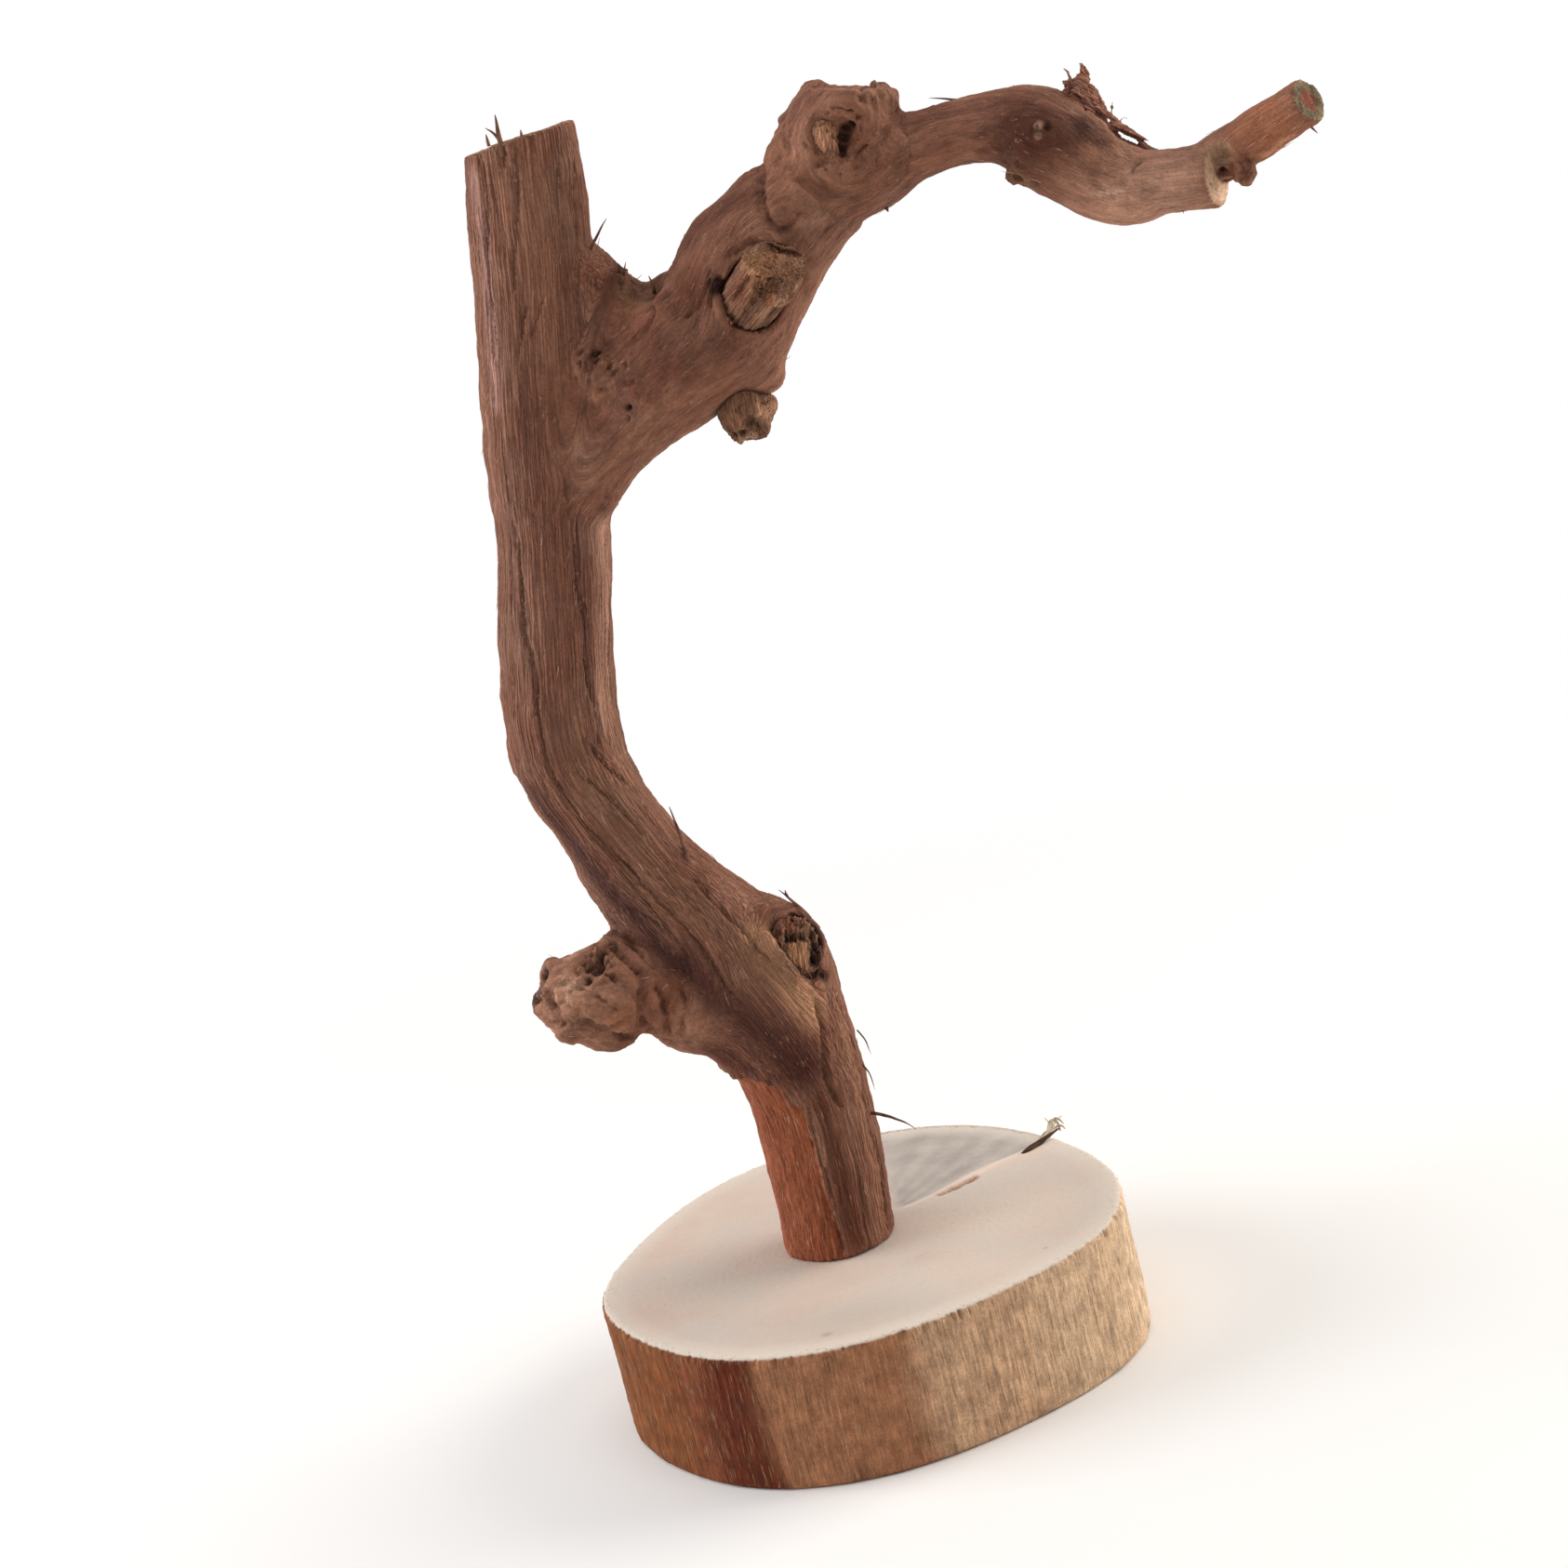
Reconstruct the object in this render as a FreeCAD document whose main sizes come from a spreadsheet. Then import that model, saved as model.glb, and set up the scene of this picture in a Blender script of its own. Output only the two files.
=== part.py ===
import FreeCAD
import Part
import Sketcher
import math
import os

# Bird perch stand: a forked vine branch stands on a slice of log and is held by two wood screws
# driven up through the slice into the branch's foot. Millimetres, +Z up. The origin is the middle
# of the slice's underside, +X runs towards the long perch arm, -Y towards the front.

Vector = FreeCAD.Vector
doc = FreeCAD.newDocument("bird_perch_stand")
sheet = doc.addObject("Spreadsheet::Sheet", "dims")

SLICE = {
    "slice_thickness": 30.0,
    "rim_round": 1.0,
}
# Radii of the rim curve's control points, evenly spaced from +X, anticlockwise.
RIM_RADII = [59.5, 55.5, 59.5, 60.5, 60.0, 55.5, 60.5, 58.0, 60.5, 58.0, 55.5, 63.0]

SCREWS = {
    "screw_length": 50.0,
    "screw_spacing": 12.0,
    "screw_sink": 0.5,
    "head_radius": 4.0,
    "shank_radius": 1.9,
    "shank_length": 28.0,
    "core_radius": 1.3,
    "thread_radius": 2.0,
    "thread_pitch": 2.0,
    "recess_length": 4.4,
    "recess_width": 0.9,
    "recess_depth": 1.5,
    "hole_clearance": 0.1,
}
THREAD_TURNS = 8

FIT = {
    "knot_gap": 0.3,
    "upper_knot_gap": 2.0,
    "socket_reach": 5.0,
    "flap_width": 12.0,
    "flap_front_y": -26.0,
}

# A limb is a row of stations: x, y and height above the slice of the middle of the wood, and its
# radius there.
STEM = [
    (-3.3, -1.0, 0.0, 11.3),
    (-2.3, -2.0, 20.0, 11.9),
    (-2.1, -3.0, 36.0, 12.4),
    (-6.0, -3.0, 53.0, 15.4),
    (-13.0, -2.0, 69.0, 15.6),
    (-24.0, 1.0, 88.0, 12.1),
    (-27.2, 2.5, 96.0, 11.4),
    (-30.0, 4.0, 104.0, 10.9),
    (-32.2, 5.2, 110.5, 11.2),
    (-33.8, 6.0, 118.0, 12.0),
    (-32.9, 7.0, 127.5, 11.9),
    (-28.0, 8.0, 150.0, 11.6),
    (-23.2, 8.0, 173.0, 12.4),
    (-19.0, 7.0, 196.0, 12.6),
    (-14.8, 5.0, 218.0, 12.2),
    (-12.6, 4.0, 231.5, 11.9),
    (-11.2, 3.0, 243.5, 11.7),
]
CROTCH = [
    (-12.9, 5.0, 217.0, 10.1),
    (-5.2, 4.0, 206.0, 10.1),
    (2.0, 2.0, 196.0, 10.1),
]
SHOULDER = [
    (-19.0, 7.0, 172.0, 10.6),
    (-8.0, 5.0, 181.0, 10.4),
    (4.0, 3.0, 190.0, 13.6),
    (19.8, -1.0, 197.8, 15.1),
    (31.5, -4.0, 211.2, 13.1),
    (44.0, -7.0, 220.0, 11.8),
]
ARM = [
    (40.0, -6.0, 219.0, 5.5),
    (47.5, -8.0, 220.6, 9.4),
    (54.7, -9.0, 222.2, 9.5),
    (63.0, -10.0, 223.0, 6.9),
    (71.0, -12.0, 223.9, 6.3),
    (79.6, -14.0, 223.4, 7.2),
    (86.8, -17.0, 220.4, 9.8),
    (93.8, -20.0, 213.6, 9.2),
    (100.0, -23.0, 208.0, 7.9),
    (107.7, -27.0, 206.8, 6.2),
    (117.2, -33.0, 206.3, 6.0),
]
KNUCKLE = [
    (45.0, -7.0, 220.0, 9.6),
    (50.2, -8.0, 229.3, 11.1),
    (54.6, -8.0, 236.8, 9.2),
]
TWIG = [
    (111.0, -28.0, 207.0, 4.2),
    (122.0, -32.0, 210.5, 4.9),
    (128.2, -37.0, 213.5, 4.8),
    (135.3, -44.0, 217.3, 4.5),
]
BURL = [
    (-17.0, -4.0, 62.5, 13.5),
    (-24.5, -6.0, 65.5, 11.8),
    (-31.0, -8.0, 68.3, 9.6),
    (-38.5, -10.0, 69.2, 11.0),
    (-45.8, -12.0, 71.2, 8.6),
    (-51.0, -13.0, 74.0, 4.2),
]
BOSS = [
    (-8.5, -3.0, 76.0, 7.4),
    (-1.0, -5.0, 68.5, 9.3),
    (0.0, -4.0, 56.0, 10.0),
    (-1.0, -3.0, 44.0, 10.0),
]
# Dead stubs that the living wood has closed round without joining: each sits loose in its socket.
ARM_STUB = [
    (23.0, -9.0, 200.0, 5.8),
    (28.0, -17.0, 205.0, 6.2),
    (33.0, -25.0, 210.0, 5.4),
]
UNDER_NUB = [
    (19.5, -2.5, 186.0, 4.6),
    (19.0, -3.5, 178.0, 5.4),
    (18.7, -4.0, 173.6, 3.4),
]
LOWER_KNOT = [
    (0.2, -7.8, 68.6, 5.2),
    (3.6, -12.8, 70.8, 6.0),
]
UPPER_KNOT = [
    (48.0, -13.0, 228.6, 3.0),
    (48.0, -18.2, 229.2, 3.4),
]
GROWN = {
    "stem": STEM,
    "shoulder": SHOULDER,
    "crotch": CROTCH,
    "arm": ARM,
    "knuckle": KNUCKLE,
    "twig": TWIG,
    "burl": BURL,
    "boss": BOSS,
}
LOOSE = {
    "arm_stub": ARM_STUB,
    "under_nub": UNDER_NUB,
    "lower_knot": LOWER_KNOT,
    "upper_knot": UPPER_KNOT,
}
# A long limb is lofted in runs of this many steps, so that no run swings wide between stations.
RUN = 3
# Saw cuts that aren't square to the limb: station number to the cut's outward normal.
TOP_CUT_SLOPE = math.radians(5.0)
KNUCKLE_CUT_SLOPE = math.radians(-14.0)
CUTS = {
    "stem": {
        0: Vector(0, 0, 1),
        len(STEM) - 1: Vector(-math.sin(TOP_CUT_SLOPE), 0, math.cos(TOP_CUT_SLOPE)),
    },
    "knuckle": {
        len(KNUCKLE) - 1: Vector(-math.sin(KNUCKLE_CUT_SLOPE), 0, math.cos(KNUCKLE_CUT_SLOPE)),
    },
}
# Torn bark standing on the arm's knee, as corners x, height of its side view.
FLAP_CORNERS = [
    (89.0, 226.0),
    (95.4, 230.3),
    (98.6, 229.0),
    (99.4, 223.0),
    (101.5, 217.0),
    (97.0, 214.0),
    (90.0, 220.0),
]


class Size:
    """A length that carries its number and the sheet expression that gives it."""

    def __init__(self, value, text):
        self.value = value
        self.text = text

    @staticmethod
    def of(other):
        return other if isinstance(other, Size) else Size(float(other), f"{other:g}")

    def __add__(self, other):
        other = Size.of(other)
        return Size(self.value + other.value, f"({self.text} + {other.text})")

    def __sub__(self, other):
        other = Size.of(other)
        return Size(self.value - other.value, f"({self.text} - {other.text})")

    def __mul__(self, factor):
        return Size(self.value * factor, f"({self.text} * {factor:.9g})")

    def __truediv__(self, divisor):
        return Size(self.value / divisor, f"({self.text} / {divisor:g})")

    def __neg__(self):
        return self * -1


def fill_sheet():
    row = 0
    for group in (SLICE, SCREWS, FIT):
        for name, value in group.items():
            row += 1
            put(f"A{row}", name)
            put(f"B{row}", value, name)
    for i, radius in enumerate(RIM_RADII):
        row += 1
        put(f"A{row}", f"rim control radius {i}")
        put(f"B{row}", radius, f"rim_{i}")
    for i, corner in enumerate(FLAP_CORNERS):
        row += 1
        put(f"A{row}", f"bark flap corner {i}")
        for column, key, value in zip("BC", "xz", corner):
            put(f"{column}{row}", value, f"flap_{i}_{key}")
    for limb, stations in {**GROWN, **LOOSE}.items():
        for i, station in enumerate(stations):
            row += 1
            put(f"A{row}", f"{limb} station {i}: x, y, height, radius")
            for column, key, value in zip("BCDE", "xyzr", station):
                put(f"{column}{row}", value, f"{limb}_{i}_{key}")
    doc.recompute()


def put(cell, content, alias=None):
    sheet.set(cell, str(content))
    if alias:
        sheet.setAlias(cell, alias)


def size(alias):
    return Size(float(sheet.get(alias)), f"dims.{alias}")


def bind(thing, prop, length):
    thing.setExpression(prop, length.text)


def new_body(label):
    body = doc.addObject("PartDesign::Body", label)
    body.Label = label
    return body


def new_sketch(body, name, plane="XY_Plane"):
    sketch = body.newObject("Sketcher::SketchObject", name)
    support = [f for f in body.Origin.OriginFeatures if f.Role == plane][0]
    sketch.AttachmentSupport = (support, "")
    sketch.MapMode = "FlatFace"
    return sketch


def place_point(sketch, geometry, end, name, x, y):
    """Fixes one point of a sketch's geometry at two sizes from the sketch's origin."""
    for kind, axis, length in (("DistanceX", "x", x), ("DistanceY", "y", y)):
        n = sketch.addConstraint(Sketcher.Constraint(kind, -1, 1, geometry, end, length.value))
        sketch.renameConstraint(n, f"{name}_{axis}")
        bind(sketch, f"Constraints.{name}_{axis}", length)


def draw_circle(sketch, name, radius, x=Size.of(0), y=Size.of(0)):
    centre = Vector(x.value, y.value, 0)
    n = sketch.addGeometry(Part.Circle(centre, Vector(0, 0, 1), radius.value), False)
    c = sketch.addConstraint(Sketcher.Constraint("Radius", n, radius.value))
    sketch.renameConstraint(c, f"{name}_radius")
    bind(sketch, f"Constraints.{name}_radius", radius)
    place_point(sketch, n, 3, name, x, y)


def draw_polygon(sketch, corners):
    points = [Vector(x.value, y.value, 0) for x, y in corners]
    count = len(points)
    for i in range(count):
        sketch.addGeometry(Part.LineSegment(points[i], points[(i + 1) % count]), False)
    for i in range(count):
        sketch.addConstraint(Sketcher.Constraint("Coincident", i, 2, (i + 1) % count, 1))
    for i, (x, y) in enumerate(corners):
        place_point(sketch, i, 1, f"corner_{i}", x, y)


def draw_closed_spline(sketch, poles):
    """A closed cubic curve on control points that the sheet places."""
    points = [Vector(x.value, y.value, 0) for x, y in poles]
    count = len(points)
    for point in points:
        sketch.addGeometry(Part.Circle(point, Vector(0, 0, 1), 1), True)
    curve = Part.BSplineCurve()
    curve.buildFromPolesMultsKnots(points, [1] * (count + 1), list(range(count + 1)), True, 3)
    spline = sketch.addGeometry(curve, False)
    sketch.addConstraint(Sketcher.Constraint("Weight", 0, 1.0))
    for i in range(1, count):
        sketch.addConstraint(Sketcher.Constraint("Equal", 0, i))
    for i, (x, y) in enumerate(poles):
        alignment = "InternalAlignment:Sketcher::BSplineControlPoint"
        sketch.addConstraint(Sketcher.Constraint(alignment, i, 3, spline, i))
        place_point(sketch, i, 3, f"pole_{i}", x, y)


def directions(limb, stations):
    """The way each section of a limb faces: along the limb, or as its saw cut says."""
    points = [Vector(*station[:3]) for station in stations]
    last = len(points) - 1
    found = []
    for i in range(last + 1):
        along = points[min(i + 1, last)] - points[max(i - 1, 0)]
        found.append(CUTS.get(limb, {}).get(i, along.normalize()))
    return found


def section(body, name, limb, i, normal, grow=None, reach=None):
    """A round section of a limb at station i, with its seam kept on the limb's right side.

    A socket's section is wider by grow, and its mouth stands further out by reach.
    """
    sketch = new_sketch(body, name)
    x, y, height, radius = (size(f"{limb}_{i}_{key}") for key in "xyzr")
    place = [x, y, size("slice_thickness") + height]
    if reach:
        place = [part + reach * share for part, share in zip(place, normal)]
    across = Vector(0, 1, 0).cross(normal).normalize()
    turn = FreeCAD.Rotation(across, normal.cross(across), normal, "ZXY")
    sketch.AttachmentOffset = FreeCAD.Placement(Vector(*[part.value for part in place]), turn)
    for axis, part in zip("xyz", place):
        bind(sketch, f"AttachmentOffset.Base.{axis}", part)
    draw_circle(sketch, "wood", radius + grow if grow else radius)
    return sketch


def add_limb(body, limb, stations, kind="PartDesign::AdditiveLoft", grow=None):
    """Lofts a limb through its stations, as wood or, with a Subtractive kind, as a socket."""
    job = "socket" if grow else "limb"
    last = len(stations) - 1
    sketches = []
    for i, normal in enumerate(directions(limb, stations)):
        reach = size("socket_reach") if grow and i == last else None
        sketches.append(section(body, f"{limb}_{job}_section_{i}", limb, i, normal, grow, reach))
    for start in range(0, last, RUN):
        loft = body.newObject(kind, f"{limb}_{job}_{start}")
        loft.Profile = sketches[start]
        loft.Sections = sketches[start + 1:start + 1 + RUN]
        doc.recompute()


def screw_places():
    """x and y of the two screws, in front of and behind the middle of the branch's foot."""
    foot_x, foot_y = size("stem_0_x"), size("stem_0_y")
    half = size("screw_spacing") / 2
    return [(foot_x, foot_y - half), (foot_x, foot_y + half)]


def make_base_slice():
    body = new_body("base_slice")
    rim = new_sketch(body, "rim")
    step = 2 * math.pi / len(RIM_RADII)
    poles = []
    for i in range(len(RIM_RADII)):
        radius = size(f"rim_{i}")
        poles.append((radius * math.cos(i * step), radius * math.sin(i * step)))
    draw_closed_spline(rim, poles)
    disc = body.newObject("PartDesign::Pad", "disc")
    disc.Profile = rim
    bind(disc, "Length", size("slice_thickness"))
    doc.recompute()

    rims = [f"Edge{i + 1}" for i, edge in enumerate(disc.Shape.Edges) if edge.isClosed()]
    rounding = body.newObject("PartDesign::Fillet", "rim_rounding")
    rounding.Base = (disc, rims)
    bind(rounding, "Radius", size("rim_round"))
    doc.recompute()

    marks = new_sketch(body, "screw_marks")
    bore = size("thread_radius") + size("hole_clearance")
    for i, (x, y) in enumerate(screw_places()):
        draw_circle(marks, f"mark_{i}", bore, x, y)
    doc.recompute()
    holes = body.newObject("PartDesign::Hole", "screw_holes")
    holes.Profile = marks
    holes.Reversed = True
    holes.DepthType = "ThroughAll"
    holes.HoleCutType = "Countersink"
    holes.HoleCutCustomValues = True
    holes.HoleCutCountersinkAngle = 90
    bind(holes, "Diameter", bore * 2)
    bind(holes, "HoleCutDiameter", (size("head_radius") + size("screw_sink")) * 2)
    doc.recompute()
    return body


def make_branch():
    body = new_body("branch")
    for limb, stations in GROWN.items():
        add_limb(body, limb, stations)
    for limb, stations in LOOSE.items():
        gap = size("upper_knot_gap" if limb == "upper_knot" else "knot_gap")
        add_limb(body, limb, stations, "PartDesign::SubtractiveLoft", gap)
    marks = new_sketch(body, "pilot_marks")
    foot_z = size("slice_thickness") + size("stem_0_z")
    bind(marks, "AttachmentOffset.Base.z", foot_z)
    for i, (x, y) in enumerate(screw_places()):
        draw_circle(marks, f"pilot_{i}", size("thread_radius") + size("hole_clearance"), x, y)
    pilots = body.newObject("PartDesign::Pocket", "pilot_holes")
    pilots.Profile = marks
    pilots.Reversed = True
    reach = size("screw_sink") + size("screw_length") - foot_z
    bind(pilots, "Length", reach + size("hole_clearance"))
    doc.recompute()
    return body


def make_loose_knot(limb, stations):
    body = new_body(limb)
    add_limb(body, limb, stations)
    return body


def make_bark_flap(branch):
    blank = new_body("bark_flap_blank")
    side = new_sketch(blank, "flap_side", "XZ_Plane")
    bind(side, "AttachmentOffset.Base.z", -size("flap_front_y"))
    corners = [
        (size(f"flap_{i}_x"), size("slice_thickness") + size(f"flap_{i}_z"))
        for i in range(len(FLAP_CORNERS))
    ]
    draw_polygon(side, corners)
    strip = blank.newObject("PartDesign::Pad", "flap_strip")
    strip.Profile = side
    strip.Reversed = True
    bind(strip, "Length", size("flap_width"))
    doc.recompute()
    flap = doc.addObject("Part::Cut", "bark_flap")
    flap.Base = blank
    flap.Tool = branch
    doc.recompute()
    return flap


def make_screws():
    body = new_body("front_screw")
    side = new_sketch(body, "screw_side", "XZ_Plane")
    x, y = screw_places()[0]
    bind(side, "AttachmentOffset.Base.x", x)
    bind(side, "AttachmentOffset.Base.z", -y)
    head, shank, core, thread = (
        size(f"{name}_radius") for name in ("head", "shank", "core", "thread")
    )
    bottom = size("screw_sink")
    tip = bottom + size("screw_length")
    pitch = size("thread_pitch")
    axis = Size.of(0)
    corners = [(axis, bottom), (head, bottom), (shank, bottom + head - shank)]
    start = bottom + size("shank_length")
    corners.append((shank, start))
    for turn in range(THREAD_TURNS):
        corners.append((core, start + pitch * (turn + 0.3)))
        corners.append((thread, start + pitch * (turn + 0.6)))
    corners.append((core, start + pitch * (THREAD_TURNS + 0.3)))
    corners.append((axis, tip))
    draw_polygon(side, corners)
    turned = body.newObject("PartDesign::Revolution", "turned_screw")
    turned.Profile = side
    turned.ReferenceAxis = (side, ["V_Axis"])
    turned.Angle = 360
    doc.recompute()

    cross = new_sketch(body, "cross_recess")
    bind(cross, "AttachmentOffset.Base.x", x)
    bind(cross, "AttachmentOffset.Base.y", y)
    bind(cross, "AttachmentOffset.Base.z", bottom)
    arm, half = size("recess_length") / 2, size("recess_width") / 2
    draw_polygon(cross, [
        (half, arm), (half, half), (arm, half), (arm, -half), (half, -half), (half, -arm),
        (-half, -arm), (-half, -half), (-arm, -half), (-arm, half), (-half, half), (-half, arm),
    ])
    recess = body.newObject("PartDesign::Pocket", "driver_recess")
    recess.Profile = cross
    recess.Reversed = True
    bind(recess, "Length", size("recess_depth"))
    doc.recompute()

    twin = doc.addObject("Part::Mirroring", "back_screw")
    twin.Source = body
    twin.Normal = Vector(0, 1, 0)
    bind(twin, "Base.y", size("stem_0_y"))
    pair = doc.addObject("Part::Compound", "fixing_screws")
    pair.Links = [body, twin]
    doc.recompute()
    return pair


def check_and_export(pieces):
    faults = [o.Label for o in doc.Objects if {"Invalid", "Error"} & set(o.State)]
    for piece in pieces:
        shape = piece.Shape
        if shape.isNull() or not shape.isValid() or not shape.Solids:
            faults.append(piece.Label)
    if faults:
        raise SystemExit(f"failed: {faults}")
    os.makedirs("parts", exist_ok=True)
    for piece in pieces:
        shape = piece.Shape
        print(f"{piece.Label}: {len(shape.Solids)} solids, {shape.Volume:.0f} mm3, {shape.BoundBox}")
        shape.exportStep(f"parts/{piece.Label}.step")


fill_sheet()
base_slice = make_base_slice()
branch = make_branch()
knots = [make_loose_knot(limb, stations) for limb, stations in LOOSE.items()]
bark_flap = make_bark_flap(branch)
fixing_screws = make_screws()
check_and_export([base_slice, branch, *knots, bark_flap, fixing_screws])
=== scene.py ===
import math

import bmesh
import bpy
import numpy as np
from mathutils import Matrix, Vector
from mathutils.bvhtree import BVHTree


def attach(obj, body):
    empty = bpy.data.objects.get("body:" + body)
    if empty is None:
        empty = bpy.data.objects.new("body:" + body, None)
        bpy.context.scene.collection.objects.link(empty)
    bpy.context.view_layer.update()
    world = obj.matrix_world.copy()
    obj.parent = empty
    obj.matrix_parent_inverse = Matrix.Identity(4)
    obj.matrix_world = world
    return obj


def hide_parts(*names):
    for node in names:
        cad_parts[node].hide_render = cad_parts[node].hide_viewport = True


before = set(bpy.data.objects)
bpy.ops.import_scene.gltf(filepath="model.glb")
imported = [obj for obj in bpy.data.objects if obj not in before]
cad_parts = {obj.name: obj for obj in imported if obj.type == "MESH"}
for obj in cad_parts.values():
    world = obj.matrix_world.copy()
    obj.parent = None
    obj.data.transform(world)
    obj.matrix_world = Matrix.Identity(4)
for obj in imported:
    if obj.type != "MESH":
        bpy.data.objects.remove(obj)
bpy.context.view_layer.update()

mm = 0.001
print("frame loaded:", sorted(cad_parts))


def linear(hexText):
    parts = [int(hexText[i:i + 2], 16) / 255 for i in (1, 3, 5)]
    return tuple(c / 12.92 if c <= 0.04045 else ((c + 0.055) / 1.055) ** 2.4 for c in parts) + (1.0,)


# a kind without "Node" in it is a shader node; a link may be a socket, a node (its first output) or a plain value
def addNode(tree, kind, links=None, **settings):
    node = tree.nodes.new(kind if "Node" in kind else "ShaderNode" + kind)
    for name, value in settings.items():
        setattr(node, name, value)
    for key, value in (links or {}).items():
        if isinstance(value, bpy.types.Node):
            value = value.outputs[0]
        if isinstance(value, bpy.types.NodeSocket):
            tree.links.new(value, node.inputs[key])
        else:
            node.inputs[key].default_value = value
    return node


def newMaterial(name):
    skin = bpy.data.materials.new(name)
    skin.use_nodes = True
    skin.node_tree.nodes.clear()
    return skin, skin.node_tree


# live modifiers become a plain mesh
def settle(obj):
    graph = bpy.context.evaluated_depsgraph_get()
    mesh = bpy.data.meshes.new_from_object(obj.evaluated_get(graph), preserve_all_data_layers=True, depsgraph=graph)
    obj.modifiers.clear()
    mesh.name = obj.name
    obj.data = mesh
    return mesh


def newPiece(name, form):
    mesh = bpy.data.meshes.new(name)
    form.to_mesh(mesh)
    form.free()
    obj = bpy.data.objects.new(name, mesh)
    bpy.context.scene.collection.objects.link(obj)
    return obj


def copyOfNode(node, name):
    form = bmesh.new()
    form.from_mesh(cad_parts[node].data)
    bmesh.ops.remove_doubles(form, verts=form.verts, dist=1e-6)
    return newPiece(name, form)


def handOver(obj, nodes=()):
    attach(obj, "root")
    if nodes:
        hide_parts(*nodes)
    print("ready:", obj.name, len(obj.data.polygons), "faces")


def dress(obj, skin):
    obj.data.materials.clear()
    obj.data.materials.append(skin)


def remeshed(obj, voxelMm):
    even = obj.modifiers.new("evenQuads", "REMESH")
    even.mode = "VOXEL"
    even.voxel_size = voxelMm * mm
    settle(obj)


def pointsOf(mesh, what="co"):
    flat = np.zeros(len(mesh.vertices) * 3)
    mesh.vertices.foreach_get(what, flat)
    return flat.reshape(-1, 3)


def movePoints(mesh, points):
    mesh.vertices.foreach_set("co", np.asarray(points, np.float64).ravel())
    mesh.update()


def paint(mesh, name, values, kind="FLOAT"):
    layer = mesh.attributes.get(name) or mesh.attributes.new(name, kind, "POINT")
    key = {"FLOAT": "value", "FLOAT_VECTOR": "vector", "FLOAT_COLOR": "color"}[kind]
    layer.data.foreach_set(key, np.asarray(values, np.float32).ravel())


def softened(obj, weights, repeats):
    group = obj.vertex_groups.new(name="soften")
    steps = np.round(np.clip(weights, 0, 1) * 10).astype(int)
    for level in range(1, 11):
        chosen = np.nonzero(steps == level)[0]
        if len(chosen):
            group.add(chosen.tolist(), level / 10, "REPLACE")
    soft = obj.modifiers.new("soften", "SMOOTH")
    soft.factor = 0.5
    soft.iterations = repeats
    soft.vertex_group = group.name
    settle(obj)
    obj.vertex_groups.clear()


def thinned(obj, triangles, plain=None):
    have = sum(len(p.vertices) - 2 for p in obj.data.polygons)
    if have > triangles:
        thin = obj.modifiers.new("thin", "DECIMATE")
        thin.ratio = triangles / have
        if plain is not None:   # only these points may go
            group = obj.vertex_groups.new(name="plain")
            group.add(np.nonzero(plain)[0].tolist(), 1.0, "REPLACE")
            thin.vertex_group = group.name
        settle(obj)
        obj.vertex_groups.clear()
    obj.data.polygons.foreach_set("use_smooth", [True] * len(obj.data.polygons))


def fade(distance, radius):
    t = np.clip(1 - distance / radius, 0, 1)
    return t * t * (3 - 2 * t)


def gapTo(points, place):
    return np.linalg.norm(points - np.array(place) * mm, axis=1)


def spanTable(points, line):
    square = (points ** 2).sum(1)[:, None] + (line ** 2).sum(1)[None] - 2 * points @ line.T
    return np.sqrt(np.maximum(square, 0))


def lengthsOf(path):
    return np.concatenate([[0], np.cumsum(np.linalg.norm(np.diff(path, axis=0), axis=1))])


def placesAt(path, reach, steps):
    return np.stack([np.interp(steps, reach, column) for column in path.T], axis=1)


def evenOut(line, times):
    for _ in range(times):
        line[1:-1] = (line[:-2] + 2 * line[1:-1] + line[2:]) / 4


def pointsInBox(points, others, margin=4):
    low, high = others.min(0) - margin * mm, others.max(0) + margin * mm
    return np.nonzero(((points > low) & (points < high)).all(1))[0]


def gapToPath(points, path, step=1.2):
    path = np.array(path, float) * mm
    reach = lengthsOf(path)
    gap = np.full(len(points), 1.0)
    for spot in placesAt(path, reach, np.arange(0, reach[-1], step * mm)):
        gap = np.minimum(gap, ((points - spot) ** 2).sum(1))
    return np.sqrt(gap)


# floor, light and camera

studio = {
    "pitch": 15.3, "roll": 14.14, "focalPixels": 3900.0, "framePixels": 1686, "sensor": 36.0,
    "stand": (8.36, -726.6, 329.96),   # camera position, mm
    "floorColour": "#f4f2ef", "floorSpan": 3.0, "floorFade": (0.16, 0.42),
    "skyLight": 0.34, "aim": (0.03, 0, 0.16), "clip": (0.01, 20),
    # name: place in m, size in m, share of white it gives, colour
    "lamps": {
        "rightSoftbox": ((0.85, 0.1, 0.4), 0.7, 1.05, "#fffaf4"),
        "leftSoftbox": ((-0.85, 0.1, 0.4), 0.7, 0.98, "#fbfcff"),
        "topSoftbox": ((0.05, 0.0, 1.05), 0.8, 0.42, "#ffffff"),
    },
}


# camera, glossy and clear rays find the white background
def raysThatSee(tree):
    rays = addNode(tree, "LightPath")
    seen = rays.outputs["Is Camera Ray"]
    for kind in ("Is Glossy Ray", "Is Transmission Ray"):
        seen = addNode(tree, "Math", {0: seen, 1: rays.outputs[kind]}, operation="MAXIMUM")
    return seen


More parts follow.
